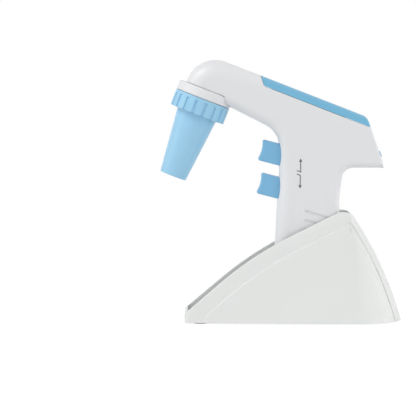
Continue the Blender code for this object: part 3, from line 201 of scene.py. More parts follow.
def turnedMetal(name, colour, roughness=0.3):
    # drawn or turned metal: fine streaks in the gloss
    material, tree = newMaterial(name)
    place = addNode(tree, "ShaderNodeTexCoord").outputs["Object"]
    streak = addNode(tree, "ShaderNodeTexNoise",
                     inputs={"Vector": place, "Scale": 1 / patternSize["streak"], "Detail": 3.0})
    gloss = addNode(tree, "ShaderNodeMapRange", inputs={
        "Value": streak.outputs["Fac"], "To Min": roughness * 0.7, "To Max": roughness * 1.3,
    })
    shader = addNode(tree, "ShaderNodeBsdfPrincipled", inputs={
        "Base Color": hexColour(colour), "Metallic": 1.0, "Roughness": gloss.outputs["Result"],
    })
    addNode(tree, "ShaderNodeOutputMaterial", inputs={"Surface": shader.outputs["BSDF"]})
    return material


finishes = dict(
    white_abs=mouldedPlastic("whiteAbs", "#E6E7E9", 0.36),  # housing: cool white ABS, satin mould finish
    stand_abs=mouldedPlastic("standAbs", "#E5E7E5", 0.44, grain=0.0005, grainDepth=0.00002),  # stand: greyer, duller
    sky_blue_abs=mouldedPlastic("skyBlueAbs", "#7DB9DF", 0.34),  # triggers, button: dyed ABS
    light_blue_polypropylene=mouldedPlastic("lightBluePolypropylene", "#9CCFEC", 0.33, ior=1.49),  # waxy, soft sheen
    cover_blue=mouldedPlastic("coverBlueAbs", "#73B6D8", 0.34),  # top cover: a little greener and greyer
    # hard-coated acrylic
    smoked_window=mouldedPlastic("smokedWindow", "#1C2226", 0.07, grainDepth=0.000001, cloud=0.0, coat=0.3),
    silicone=mouldedPlastic("siliconeRubber", "#D9DCDB", 0.55, ior=1.43),  # translucent grey, matt
    black_rubber=mouldedPlastic("blackRubber", "#26282A", 0.8, ior=1.52, grainDepth=0.00003),  # matt, grainy
    circuit_board=mouldedPlastic("greenLacquerBoard", "#1F6A3C", 0.45),
    black_plastic=mouldedPlastic("blackNylon", "#222425", 0.45),
    grey_nylon=mouldedPlastic("greyNylon", "#B9BCBE", 0.5),
    cell_sleeve=mouldedPlastic("shrinkSleeve", "#2B4C8C", 0.35),
    filter_membrane=mouldedPlastic("ptfeMembrane", "#E8E6DF", 0.9),
    steel=turnedMetal("zincPlatedSteel", "#B9BBBD", 0.32),
    brass=turnedMetal("turnedBrass", "#C9A667", 0.3),
    foot_grey=mouldedPlastic("greyThermoplasticRubber", "#A9ACAB", 0.75, grainDepth=0.00003),  # soft, dull
    print_grey=mouldedPlastic("padPrintedInk", "#5C5E57", 0.6, grainDepth=0.0, cloud=0.0),  # flat grey ink
)
print("materials made")


# Mesh helpers

@contextmanager
def edited(obj):
    # its mesh, open for edits
    bm = bmesh.new()
    bm.from_mesh(obj.data)
    yield bm
    bm.to_mesh(obj.data)
    bm.free()


def meshObject(name, verts, faces, smoothAngle=35):
    # a closed shape of points and faces, with its faces turned outwards
    mesh = bpy.data.meshes.new(name)
    mesh.from_pydata(np.asarray(verts).reshape(-1, 3).tolist(), [], faces)
    obj = linked(name, mesh)
    with edited(obj) as bm:
        bmesh.ops.recalc_face_normals(bm, faces=bm.faces)
    soften(obj, smoothAngle)
    return obj


def soften(obj, angle=35):
    obj.data.shade_smooth()
    obj.data.set_sharp_from_angle(angle=math.radians(angle))


def gridFaces(rows, cols, wrapRows=False):
    # quads between neighbouring points of a grid that closes round its columns, by index
    r = np.arange(rows if wrapRows else rows - 1)
    r, c = [part.ravel() for part in np.meshgrid(r, np.arange(cols), indexing="ij")]
    r2, c2 = (r + 1) % rows, (c + 1) % cols
    return np.stack((r * cols + c, r * cols + c2, r2 * cols + c2, r2 * cols + c), 1).tolist()


def gridObject(name, grid):
    # a (rows, columns, 3) array of points, skinned, with flat caps over its first and last rows
    rows, cols, _ = grid.shape
    caps = [list(range(cols - 1, -1, -1)), list(range((rows - 1) * cols, rows * cols))]
    return meshObject(name, grid, gridFaces(rows, cols) + caps)


def mirrored(part):
    return part * np.array((1, -1, 1))


def settle(obj):
    # its modifiers made permanent
    bpy.context.view_layer.update()
    mesh = bpy.data.meshes.new_from_object(obj.evaluated_get(bpy.context.evaluated_depsgraph_get()))
    obj.modifiers.clear()
    old = obj.data
    obj.data = mesh
    bpy.data.meshes.remove(old)
    return obj


def carve(obj, cutters, operation="DIFFERENCE", keep=False):
    # exact Booleans one after another, then settled
    for cutter in cutters:
        step = obj.modifiers.new(cutter.name, "BOOLEAN")
        step.operation = operation
        step.solver = "EXACT"
        step.object = cutter
    settle(obj)
    if not keep:
        for cutter in cutters:
            bpy.data.objects.remove(cutter, do_unlink=True)
    return obj


def cleaned(obj, distance=0.000002):
    # slivers that Booleans leave are merged, and any hole left by one is closed
    with edited(obj) as bm:
        bmesh.ops.remove_doubles(bm, verts=bm.verts, dist=distance)
        bmesh.ops.dissolve_degenerate(bm, edges=bm.edges, dist=distance)
        loose = [edge for edge in bm.edges if len(edge.link_faces) == 1]
        bmesh.ops.holes_fill(bm, edges=loose, sides=8)


def joined(name, objects):
    # one object of several separate shells
    bm = bmesh.new()
    for obj in objects:
        bm.from_mesh(obj.data)
        bpy.data.objects.remove(obj, do_unlink=True)
    mesh = bpy.data.meshes.new(name)
    bm.to_mesh(mesh)
    bm.free()
    return linked(name, mesh)


def copied(obj, name):
    return linked(name, obj.data.copy())


def evened(obj):
    # shading that keeps flat faces flat beside small radii
    soften(obj, 30)
    step = obj.modifiers.new("flat faces stay flat", "WEIGHTED_NORMAL")
    step.keep_sharp = True
    step.weight = 60
    return obj


def finishPiece(obj, body, slot, replaced, finish=None):
    # material, chosen by its finish or else by its slot; carrier; and the CAD nodes it stands for, hidden
    obj.data.materials.clear()
    obj.data.materials.append(finishes[finish or slot])
    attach(obj, body)
    if replaced:
        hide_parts(*replaced)
    return obj


def unit(vector):
    return np.asarray(vector, float) / np.linalg.norm(vector)


def smoothStep(value):
    value = np.clip(value, 0, 1)
    return value * value * (3 - 2 * value)


def inward(direction):
    # left of a counter-clockwise direction
    return np.array((-direction[1], direction[0]))


easing = dict(step=0.0002, run=0.003, parts=8)  # a larger change of rounding on a longer run is spread over parts


def bend(into, out):
    # which way and how far one direction turns into the next
    return math.copysign(1, into[0] * out[1] - into[1] * out[0]), math.acos(np.clip(into @ out, -1, 1))


def turned(arm, turn):
    # a side-view direction turned by a row of angles
    return np.stack((arm[0] * np.cos(turn) - arm[1] * np.sin(turn), arm[0] * np.sin(turn) + arm[1] * np.cos(turn)), 1)


def filletedOutline(corners, arcStep=math.radians(4)):
    # straight runs joined by tangent arcs: centre = arc start + inward normal x radius, and
    # point = centre - normal x radius. Gives points, inward normals and the edge rounding, eased along the runs.
    points, inwards, roundings = [], [], []
    count = len(corners)
    for i, (x, z, fillet, rounding) in enumerate(corners):
        here = np.array((x, z))
        into = unit(here - corners[i - 1][:2])
        out = unit(np.array(corners[(i + 1) % count][:2]) - here)
        before, after = inward(into), inward(out)
        if not fillet:
            points.append(here[None])
            inwards.append(((before + after) / (1 + before @ after))[None])
            roundings.append(np.array([rounding]))
            continue
        side, angle = bend(into, out)
        centre = here - into * fillet * math.tan(angle / 2) + before * fillet * side
        turn = side * angle * np.linspace(0, 1, max(3, math.ceil(angle / arcStep)) + 1)
        normal = turned(before, turn)
        points.append(centre - normal * fillet * side)
        inwards.append(normal)
        roundings.append(np.full(len(turn), rounding))
    points, inwards, roundings = np.concatenate(points), np.concatenate(inwards), np.concatenate(roundings)
    nextPoint, nextInward, nextRounding = [np.roll(part, -1, 0) for part in (points, inwards, roundings)]
    length = np.linalg.norm(nextPoint - points, axis=1)
    parts = np.where((abs(nextRounding - roundings) > easing["step"]) & (length > easing["run"]), easing["parts"], 1)
    i = np.repeat(np.arange(len(points)), parts)
    share = (np.arange(len(i)) - np.repeat(np.cumsum(parts) - parts, parts)) / easing["parts"]
    return (points[i] + share[:, None] * (nextPoint - points)[i],
            inwards[i] + share[:, None] * (nextInward - inwards)[i],
            roundings[i] + smoothStep(share) * (nextRounding - roundings)[i])


def roundedSlab(name, outline, half, inset=0.0, steps=12, least=0.0003):
    # both sides of a plate with rounded edges:
    # place = point + inward x (inset + r(1 - cos t)), y = +-(half - inset - r(1 - sin t))
    points, inwards, roundings = outline
    radius = np.maximum(roundings - inset, least)[None, :]
    turn = np.radians(90) * np.linspace(0, 1, steps + 1)[:, None]
    draw = inset + radius * (1 - np.cos(turn))
    level = half - inset - radius * (1 - np.sin(turn))
    x = points[None, :, 0] + inwards[None, :, 0] * draw
    z = points[None, :, 1] + inwards[None, :, 1] * draw
    far = np.stack((x, level, z), -1)
    return gridObject(name, np.concatenate((mirrored(far[::-1]), far)))


def slab(name, points, yLow, yHigh):
    # a flat outline of (x, z) carried from one y to another
    points = np.asarray(points, float)
    row = np.stack((points[:, 0], np.zeros(len(points)), points[:, 1]), 1)
    return gridObject(name, np.stack((row + (0, yLow, 0), row + (0, yHigh, 0))))


def trimmed(obj, point, normal):
    # what lies beyond a plane is cut away, and the cut is closed
    with edited(obj) as bm:
        geometry = bm.verts[:] + bm.edges[:] + bm.faces[:]
        cut = bmesh.ops.bisect_plane(bm, geom=geometry, plane_co=point, plane_no=normal, clear_outer=True, dist=1e-7)
        rim = [e for e in cut["geom_cut"] if isinstance(e, bmesh.types.BMEdge)]
        bmesh.ops.holes_fill(bm, edges=rim, sides=0)
        bmesh.ops.recalc_face_normals(bm, faces=bm.faces)


def roundRim(obj, point, normal, radiusOf, segments=5):
    # the edges of one flat face rounded, with a radius that is a function of the outward direction within the face
    largest, weight = 0.004, "bevel_weight_edge"
    point, normal = Vector(point), Vector(normal).normalized()
    with edited(obj) as bm:
        layer = bm.edges.layers.float.get(weight) or bm.edges.layers.float.new(weight)
        for face in bm.faces:
            flat = face.normal.dot(normal) > 0.9999 and abs((face.calc_center_median() - point).dot(normal)) < 1e-6
            for loop in face.loops if flat else ():
                other = [f for f in loop.edge.link_faces if f is not face]
                if other and other[0].normal.dot(normal) <= 0.9:
                    along = (loop.link_loop_next.vert.co - loop.vert.co).normalized()
                    loop.edge[layer] = radiusOf(along.cross(normal)) / largest
    step = obj.modifiers.new("rim", "BEVEL")
    step.limit_method = "WEIGHT"
    step.width = largest
    step.segments = segments
    step.use_clamp_overlap = False
    settle(obj)
    if weight in obj.data.attributes:
        obj.data.attributes.remove(obj.data.attributes[weight])
    return obj


def revolved(name, profile, place, sides):
    # a profile of (radius, height) turned about an axis: (r cos a, r sin a, h); points on the axis become one pole
    profile = np.asarray(profile, float)
    angle = np.linspace(0, math.tau, sides, endpoint=False)
    onAxis = profile[:, 0] < 1e-9
    ring = profile[~onAxis]
    grid = np.stack((ring[:, :1] * np.cos(angle), ring[:, :1] * np.sin(angle), np.repeat(ring[:, 1:], sides, 1)), -1)
    rows = len(ring)
    verts = grid.reshape(-1, 3)
    faces = gridFaces(rows, sides, wrapRows=not onAxis.any())
    poles = profile[onAxis]
    for pole, row in zip(poles, (0, rows - 1) if onAxis[0] else (rows - 1, 0)):
        verts = np.concatenate((verts, [(0, 0, pole[1])]))
        k = np.arange(sides)
        tip = np.full(sides, len(verts) - 1)
        faces += np.stack((row * sides + k, row * sides + (k + 1) % sides, tip), 1).tolist()
    return meshObject(name, placed(verts, place), faces, 30)


def placed(verts, place):
    matrix = np.array(place)
    return np.asarray(verts) @ matrix[:3, :3].T + matrix[:3, 3]


def cornerArcs(points, radii, steps=5):
    # a profile's corners rounded: a tangent arc of the given radius at each inner point
    points = [np.asarray(p, float) for p in points]
    rounded = [points[0][None]]
    for before, here, after, radius in zip(points, points[1:], points[2:], radii):
        if not radius:
            rounded.append(here[None])
            continue
        into, out = unit(here - before), unit(after - here)
        side, angle = bend(into, out)
        normal = inward(into) * side
        centre = here - into * radius * math.tan(angle / 2) + normal * radius
        turn = side * angle * np.linspace(0, 1, steps + 1)
        rounded.append(centre + turned(-normal * radius, turn))
    rounded.append(points[-1][None])
    return np.concatenate(rounded)


def roundedBox(name, low, high, radius, place):
    # a box between two corners with all its edges rounded
    bm = bmesh.new()
    size = np.subtract(high, low)
    middle = np.add(high, low) / 2
    bmesh.ops.create_cube(bm, size=1, matrix=Matrix.Translation(middle) @ Matrix.Diagonal((*size, 1)))
    bmesh.ops.bevel(bm, geom=bm.edges[:], offset=radius, segments=4, profile=0.5, affect="EDGES")
    bm.transform(place)
    mesh = bpy.data.meshes.new(name)
    bm.to_mesh(mesh)
    bm.free()
    obj = linked(name, mesh)
    soften(obj)
    return obj


def plainBox(name, low, high, place):
    corners = np.array([(x, y, z) for x in (low[0], high[0]) for y in (low[1], high[1]) for z in (low[2], high[2])])
    faces = [[0, 1, 3, 2], [4, 6, 7, 5], [0, 4, 5, 1], [2, 3, 7, 6], [0, 2, 6, 4], [1, 5, 7, 3]]
    return meshObject(name, placed(corners, place), faces)


def rod(name, radius, low, high, place, sides=48):
    return revolved(name, [(0, high), (radius, high), (radius, low), (0, low)], place, sides)


# The controller's lines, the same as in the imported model

headLine = dict(tilt=math.radians(21.3), noseX=-0.0585, noseZ=0.16685, neckR=0.0163, elbowR=0.0228, top=0.0318,
                rearTopX=0.0675, rearTopZ=0.1429, rearTilt=math.radians(18.8), rearFloorZ=0.1154, undersideUp=0.002,
                rearEdge=0.0012, rearTopEdge=0.0018, rearFootEdge=0.0026)
gripLine = dict(throatX=-0.0013, throatZ=0.14175, throatR=0.019, topZ=0.113, buttZ=0.013, buttFrontX=-0.00735,
                buttRearX=0.0454, waistX=0.0432, waistZ=0.092, waistR=0.060, heelX=0.0462, heelR=0.0085,
                frontR=0.150, buttEdge=0.0014)
shell = dict(half=0.0165, wall=0.0024, runOut=0.022, parting=0.0003, partingEdge=0.00018, gap=0.0003, across=0.03)
rounding = dict(head=0.0085, elbow=0.012, neck=0.0145, throat=0.0075, grip=0.0085, heel=0.005, overhang=0.003)


def nosePoint(along, up):
    # side-view place along the head and up the nose axis
    tilt = headLine["tilt"]
    x = headLine["noseX"] + along * math.cos(tilt) + up * math.sin(tilt)
    z = headLine["noseZ"] - along * math.sin(tilt) + up * math.cos(tilt)
    return x, z


def sidePlace(x, z, tilt):
    return Matrix.Translation((x, 0, z)) @ Matrix.Rotation(tilt, 4, "Y")


def onLine(first, second, z):
    return first[0] + (z - first[1]) / (second[1] - first[1]) * (second[0] - first[0])


gripFront = ((gripLine["throatX"], gripLine["topZ"]), (gripLine["buttFrontX"], gripLine["buttZ"]))
gripRear = ((gripLine["waistX"], gripLine["waistZ"]), (gripLine["buttRearX"], gripLine["buttZ"]))
rearFootX = headLine["rearTopX"] + (headLine["rearTopZ"] - headLine["rearFloorZ"]) * math.tan(headLine["rearTilt"])
rearNormal = np.array((math.cos(headLine["rearTilt"]), 0, math.sin(headLine["rearTilt"])))
rearUp = Vector((-math.sin(headLine["rearTilt"]), 0, math.cos(headLine["rearTilt"])))
nosePlace = sidePlace(headLine["noseX"], headLine["noseZ"], headLine["tilt"])
rearPlace = sidePlace(rearFootX, headLine["rearFloorZ"], -headLine["rearTilt"])


def bodyOutline():
    run = shell["runOut"]
    low = gripLine["buttZ"] - run
    neck, elbow, top = headLine["neckR"], headLine["elbowR"], headLine["top"]
    headEnd = (headLine["rearTopX"] - headLine["noseX"]) / math.cos(headLine["tilt"]) + run / 2
    return filletedOutline([
        (onLine(*gripFront, low), low, 0, rounding["grip"]),
        (onLine(*gripRear, low), low, 0, rounding["heel"]),
        (gripLine["waistX"], gripLine["waistZ"], gripLine["waistR"], rounding["heel"]),
        (gripLine["heelX"], headLine["rearFloorZ"], gripLine["heelR"], rounding["heel"]),
        (rearFootX + run, headLine["rearFloorZ"], 0, rounding["overhang"]),
        (*nosePoint(headEnd, top), 0, rounding["head"]),
        (*nosePoint(neck + elbow, top), 0, rounding["head"]),
        (*nosePoint(-neck, top), elbow, rounding["elbow"]),
        (*nosePoint(-neck, -run), 0, rounding["neck"]),
        (*nosePoint(neck, -run), 0, rounding["neck"]),
        (*nosePoint(neck, headLine["undersideUp"]), 0, rounding["throat"]),
        (gripLine["throatX"], gripLine["throatZ"], gripLine["throatR"], rounding["throat"]),
        (gripLine["throatX"], gripLine["topZ"], gripLine["frontR"], rounding["grip"]),
    ])


def bodyForm(name, inset=0.0, foot=None, finishEnds=False):
    # head and handle as one closed form, moved in by an inset and cut by the rear face and the handle's end
    form = roundedSlab(name, bodyOutline(), shell["half"], inset, steps=14 if finishEnds else 8)
    rearPoint = np.array((rearFootX, 0, headLine["rearFloorZ"])) - rearNormal * inset
    trimmed(form, Vector(rearPoint), Vector(rearNormal))
    foot = gripLine["buttZ"] if foot is None else foot
    trimmed(form, Vector((0, 0, foot)), Vector((0, 0, -1)))
    if finishEnds:
        def rearRadius(out):
            rise = out.dot(rearUp)
            return headLine["rearEdge"] + headLine["rearTopEdge" if rise > 0 else "rearFootEdge"] * rise ** 2

        roundRim(form, rearPoint, rearNormal, rearRadius)
        roundRim(form, (0, 0, foot), (0, 0, -1), lambda out: gripLine["buttEdge"], segments=4)
    soften(form)
    return form


def coverRegion(name, clearance):
    # side-view wedge that the cover takes from the head
    low = headLine["top"] - topCover["depth"] - clearance
    high = headLine["top"] + 0.02
    slope = topCover["slant"] / topCover["depth"]
    start = topCover["start"] - clearance
    far = (headLine["rearTopX"] - headLine["noseX"]) / math.cos(headLine["tilt"]) + shell["runOut"]
    corners = [(start - (high - headLine["top"]) * slope, high, 0),
               (start + (headLine["top"] - low) * slope, low, 0.0015), (far, low, 0), (far, high, 0)]
    points, _, _ = filletedOutline([(*nosePoint(along, up), radius, 0) for along, up, radius in corners])
    return slab(name, points, -shell["across"], shell["across"])


topCover = dict(depth=0.0065, start=0.0337, slant=0.0052, wall=0.0022)
trigger = dict(tilt=math.radians(14.5), faces=dict(aspirate=(-0.01595, 0.1287), dispense=(-0.01695, 0.1039)),
               height=0.0158, width=0.0175, sag=0.0015, edge=0.0009, frontEdge=0.0012, corner=0.0014, lip=0.0013,
               flange=0.0022, slot=(0.006, 0.026), scallop=0.0012, scallopRun=0.0008)
rearFace = dict(buttonUp=0.0104, buttonHeight=0.0054, buttonWidth=0.013, buttonProud=0.0012,
                windowUp=0.0215, windowHeight=0.011, windowWidth=0.020, corner=0.001, lens=0.002,
                flange=0.0012)
grooves = dict(count=5, width=0.002, depth=0.0008, pitch=0.0069, x=0.0186, z=0.0832, slope=math.radians(18.5),
               lean=0.0006, length=0.030)
screw = dict(bossR=0.004, headR=0.0025, headThick=0.002, sink=0.0017)
collar = dict(radius=0.0212, height=0.0075, spigotR=0.0172, spigotBore=0.0138, spigotDeep=0.009)
endCap = dict(thick=0.0022, socketIn=0.0095, socketR=0.0043)
screwPlaces = [
    nosePoint(-0.004, 0.0215),
    nosePoint(0.044, 0.0062),
    (0.060, headLine["rearFloorZ"] + shell["wall"] + screw["bossR"]),
    (onLine(*gripFront, 0.026) + shell["wall"] + screw["bossR"] * 0.9, 0.026),
    (onLine(*gripRear, 0.026) - shell["wall"] - screw["bossR"] * 0.9, 0.026),
]


def slidePlace(which):
    return sidePlace(*trigger["faces"][which], trigger["tilt"])


def grooveCutters():
    # slanted channels with round front ends on both sides of the grip
    cutters = []
    half, long, turn = grooves["width"] / 2, grooves["length"], grooves["slope"]
    points, _, _ = filletedOutline([
        (-half, -half, half * 0.98, 0), (long, -half, 0, 0), (long, half, 0, 0), (-half, half, half * 0.98, 0),
    ], math.radians(15))
    for side in (-1, 1):
        deep = side * (shell["half"] - grooves["depth"])
        out = side * (shell["half"] + 0.004)
        for k in range(grooves["count"]):
            x = grooves["x"] - k * grooves["lean"] + points[:, 0] * math.cos(turn) + points[:, 1] * math.sin(turn)
            z = grooves["z"] - k * grooves["pitch"] - points[:, 0] * math.sin(turn) + points[:, 1] * math.cos(turn)
            cutters.append(slab(f"grooveCutter{k}", np.stack((x, z), 1), *sorted((deep, out))))
    return cutters


def scallopCutter(which):
    # shallow finger hollow behind a trigger, across the handle's front: x = front + depth x (1 - u u) along its height
    faceX, faceZ = trigger["faces"][which]
    middle = faceZ - (gripLine["throatX"] - faceX) * math.tan(trigger["tilt"])
    reach = trigger["height"] / 2 + trigger["scallopRun"]
    u = np.linspace(-1, 1, 33)
    z = middle + u * reach
    front = np.where(z > gripLine["topZ"], gripLine["throatX"], onLine(*gripFront, z))
    ahead = gripLine["throatX"] - 0.004
    x = np.concatenate((front + trigger["scallop"] * (1 - u * u), (ahead, ahead)))
    z = np.concatenate((z, (middle + reach, middle - reach)))
    return slab(f"{which}ScallopCutter", np.stack((x, z), 1), -shell["across"], shell["across"])


def faceSlot(name):
    # level, height and width of the window or the button on the rear face
    return [rearFace[name + key] for key in ("Up", "Height", "Width")]


def housingCutters():
    gap, wall = shell["gap"], shell["wall"]
    cutters = [coverRegion("seatCutter", 0)]
    start, stop = -1.2 * shell["runOut"], collar["height"]
    cutters.append(rod("collarCutter", collar["radius"] + gap, start, stop, nosePlace, 128))
    halfW, halfH = trigger["width"] / 2 + gap, trigger["height"] / 2 + gap
    near, deep = trigger["slot"]
    for which in trigger["faces"]:
        cutters.append(plainBox(f"{which}SlotCutter", (near, -halfW, -halfH), (deep, halfW, halfH), slidePlace(which)))
    for name in ("window", "button"):
        up, high, wide = faceSlot(name)
        y, low, top, corner = wide / 2, up - high / 2, up + high / 2, rearFace["corner"]
        corners = [(-y, low, corner, 0), (y, low, corner, 0), (y, top, corner, 0), (-y, top, corner, 0)]
        points, _, _ = filletedOutline(corners, math.radians(15))
        rows = [np.stack((np.full(len(points), x), points[:, 0], points[:, 1]), 1) for x in (-2 * wall, wall)]
        cutters.append(gridObject(name + "Cutter", placed(np.stack(rows).reshape(-1, 3), rearPlace).reshape(2, -1, 3)))
    return cutters + grooveCutters()


def makeHousing():
    # two half shells that meet on the mid plane, with the pockets of everything that shows through them
    butt, cavityFoot = gripLine["buttZ"], gripLine["buttZ"] - 0.005
    outer = bodyForm("outerForm", finishEnds=True)
    cavity = bodyForm("cavityForm", shell["wall"], cavityFoot)
    cutter = joined("housingCutters", housingCutters())
    scallops = joined("scallopCutters", [scallopCutter(which) for which in trigger["faces"]])
    cover = copied(outer, "cover_skin")
    cap = copied(outer, "end_cap_skin")
    carve(outer, [scallops])
    foot = butt + endCap["thick"] + shell["gap"]
    for side, name, node in ((-1, "housing_left_skin", "housing_left"), (1, "housing_right_skin", "housing_right")):
        half = copied(outer, name)
        plane, normal = Vector((0, side * shell["parting"] / 2, 0)), Vector((0, -side, 0))
        trimmed(half, plane, normal)
        trimmed(half, Vector((0, 0, foot)), Vector((0, 0, -1)))
        roundRim(half, plane, normal, lambda out: shell["partingEdge"], segments=1)
        carve(half, [cavity, cutter], keep=True)
        if side > 0:
            sinks = []
            floor = shell["half"] - screw["sink"] - screw["headThick"] - shell["gap"]
            for i, (x, z) in enumerate(screwPlaces):
                place = Matrix.Translation((x, 0, z)) @ Matrix.Rotation(math.radians(-90), 4, "X")
                sinks.append(rod(f"sinkCutter{i}", screw["headR"] + shell["gap"], floor, shell["half"] + 0.002, place))
            carve(half, [joined("sinkCutters", sinks)])
        finishPiece(evened(half), "controller", "white_abs", [node])
    for obj in (outer, cutter, cavity):
        bpy.data.objects.remove(obj, do_unlink=True)

    carve(cover, [coverRegion("coverShare", -shell["gap"])], "INTERSECT")
    carve(cover, [bodyForm("coverHollow", topCover["wall"], cavityFoot)])
    finishPiece(evened(cover), "controller", "sky_blue_abs", ["top_cover"], "cover_blue")

    trimmed(cap, Vector((0, 0, butt + endCap["thick"])), Vector((0, 0, 1)))
    place = Matrix.Translation((gripLine["buttRearX"] - endCap["socketIn"], 0, 0))
    carve(cap, [rod("socketCutter", endCap["socketR"], butt - 0.01, butt + 0.02, place)])
    finishPiece(evened(cap), "controller", "white_abs", ["handle_end_cap"])


makeHousing()
print("housing, cover and end cap made")


# Nose

def makeCollar():
    # white collar with soft edges, and the spigot under it that the nosepiece screws onto
    gap, radius, height = shell["gap"], collar["radius"], collar["height"]
    boss = headLine["neckR"] - shell["wall"] - 2 * gap
    spigot, bore, deep = collar["spigotR"], collar["spigotBore"], collar["spigotDeep"]
    profile = [(0, height + 0.004), (boss, height + 0.004), (boss, height - gap), (radius, height - gap),
               (radius, gap / 2), (spigot, gap / 2), (spigot, -deep), (bore, -deep),
               (bore, height / 3), (0, height / 3)]
    radii = (0.0008, 0, 0.0011, 0.0004, 0, 0.0006, 0.0006, 0)
    piece = revolved("collar_ring", cornerArcs(profile, radii), nosePlace, 160)
    finishPiece(evened(piece), "controller", "white_abs", ["nose_collar"])


nosepiece = dict(ringHeight=0.0126, coneTop=0.0154, coneTip=0.01015, end=0.0621, wall=0.0022, shoulder=0.0016, ribs=18,
                 grooveWidth=0.0021, grooveDepth=0.0009, grooveTop=0.0024, edge=0.00022)
# the bore's radii, each with its share of the depth of the sleeve's end
sleeve = dict(end=0.050, seat=0.003, throatR=(0.0024, 0.0025), bore=((0.0055, 1), (0.0038, 0.72), (0.0030, 0.45)))


def coneRadius(depth):
    # outer radius of the cone at a depth below the collar
    ring, top = nosepiece["ringHeight"], nosepiece["coneTop"]
    return top + (depth - ring) / (nosepiece["end"] - ring) * (nosepiece["coneTip"] - top)


def makeNosepiece():
    # surface (r(a, h) cos a, r(a, h) sin a, h): the profile's radius, less the groove's depth inside a groove
    gap, radius, ring = shell["gap"], collar["radius"], nosepiece["ringHeight"]
    top, tip, end, wall = (nosepiece[key] for key in ("coneTop", "coneTip", "end", "wall"))
    seat, spigotEnd = collar["spigotR"] + gap, collar["spigotDeep"] + gap
    shoulder = spigotEnd + nosepiece["shoulder"]
    outside = cornerArcs([
        (seat, -gap / 2), (radius, -gap / 2), (radius, -ring), (top, -ring), (tip, -end),
        (coneRadius(end) - wall, -end), (coneRadius(shoulder) - wall, -shoulder),
    ], (0.0005, 0.0006, 0.0012, 0.0008, 0.0008), 6)
    inside = np.array([(coneRadius(shoulder) - wall, -spigotEnd), (seat, -spigotEnd)])
    rows = (0.0008, 0.0014, 0.00175, 0.0019, 0.00205, 0.0022, 0.0024, 0.0045, 0.0075)  # close where the grooves begin
    extra = [(radius, -gap / 2 - 0.0005 - row) for row in rows]
    where = int(np.argmax((outside[:, 0] > radius - 1e-7) & (outside[:, 1] < -gap / 2 - 0.0004)))
    outside = np.concatenate((outside[:where + 1], extra, outside[where + 1:]))
    coneRows = np.argmax(outside[:, 1] < -end + 0.002)
    start, stop = outside[coneRows - 1], outside[coneRows]
    between = start + np.linspace(0, 1, 12)[1:-1, None] * (stop - start)
    profile = np.concatenate((outside[:coneRows], between, outside[coneRows:], inside))

    ribs, deep, soft = nosepiece["ribs"], nosepiece["grooveDepth"], nosepiece["edge"]
    half, edge, period = nosepiece["grooveWidth"] / 2 / radius, soft / radius, math.tau / ribs
    inner = np.concatenate((np.array([0, 0.5, 0.85]) * (half - edge), half - edge + np.linspace(0, 2 * edge, 5)))
    side = np.concatenate((inner, np.linspace(half + edge, period / 2, 6)[1:-1]))
    local = np.concatenate((-side[:0:-1], side, [period / 2]))
    angle = (local[None, :] + period * np.arange(ribs)[:, None]).ravel()
    across = (1 - smoothStep((np.abs(np.tile(local, ribs)) - half + edge) / (2 * edge)))[None, :]
    h, r = profile[:, 1:], profile[:, :1]
    onRing = np.arange(len(profile))[:, None] < np.argmax(profile[:, 0] < top + 0.0011)
    down = smoothStep((-h - gap / 2 - nosepiece["grooveTop"] + soft) / (2 * soft))
    depth = deep * across * down * ((r > radius - 0.0007) & onRing)
    under = onRing & (r > radius - deep - 0.0002) & (h < -ring + 1e-5)
    reach = np.where(under, np.minimum(r, radius - deep * across), r - depth)
    turn = angle + math.radians(-90) + period / 2
    grid = np.stack((reach * np.cos(turn), reach * np.sin(turn), np.repeat(h, len(angle), 1)), -1)
    faces = gridFaces(len(profile), len(angle), wrapRows=True)
    piece = meshObject("ribbed_cone", placed(grid.reshape(-1, 3), nosePlace), faces, 40)
    finishPiece(piece, "nosepiece", "light_blue_polypropylene", ["nosepiece"])


def makeSleeve():
    # silicone sleeve inside the cone, seen from below: rounded lip and a tapering bore
    gap, end = shell["gap"], sleeve["end"]

    def fit(depth):
        return coneRadius(depth) - nosepiece["wall"] - gap

    top = collar["spigotDeep"] + 2 * gap
    seat = sleeve["seat"]
    upper, lower = sleeve["throatR"]
    profile = [(upper, -top), (fit(top), -top), (fit(top + seat), -top - seat), (fit(end), -end)]
    profile += [(radius, -end * share) for radius, share in sleeve["bore"]] + [(lower, -top - 0.001)]
    piece = revolved("silicone_sleeve", cornerArcs(profile, (0, 0, 0.0006, 0.0008, 0, 0)), nosePlace, 96)
    finishPiece(evened(piece), "pipette_holder", "silicone", ["pipette_adapter"])


# Triggers

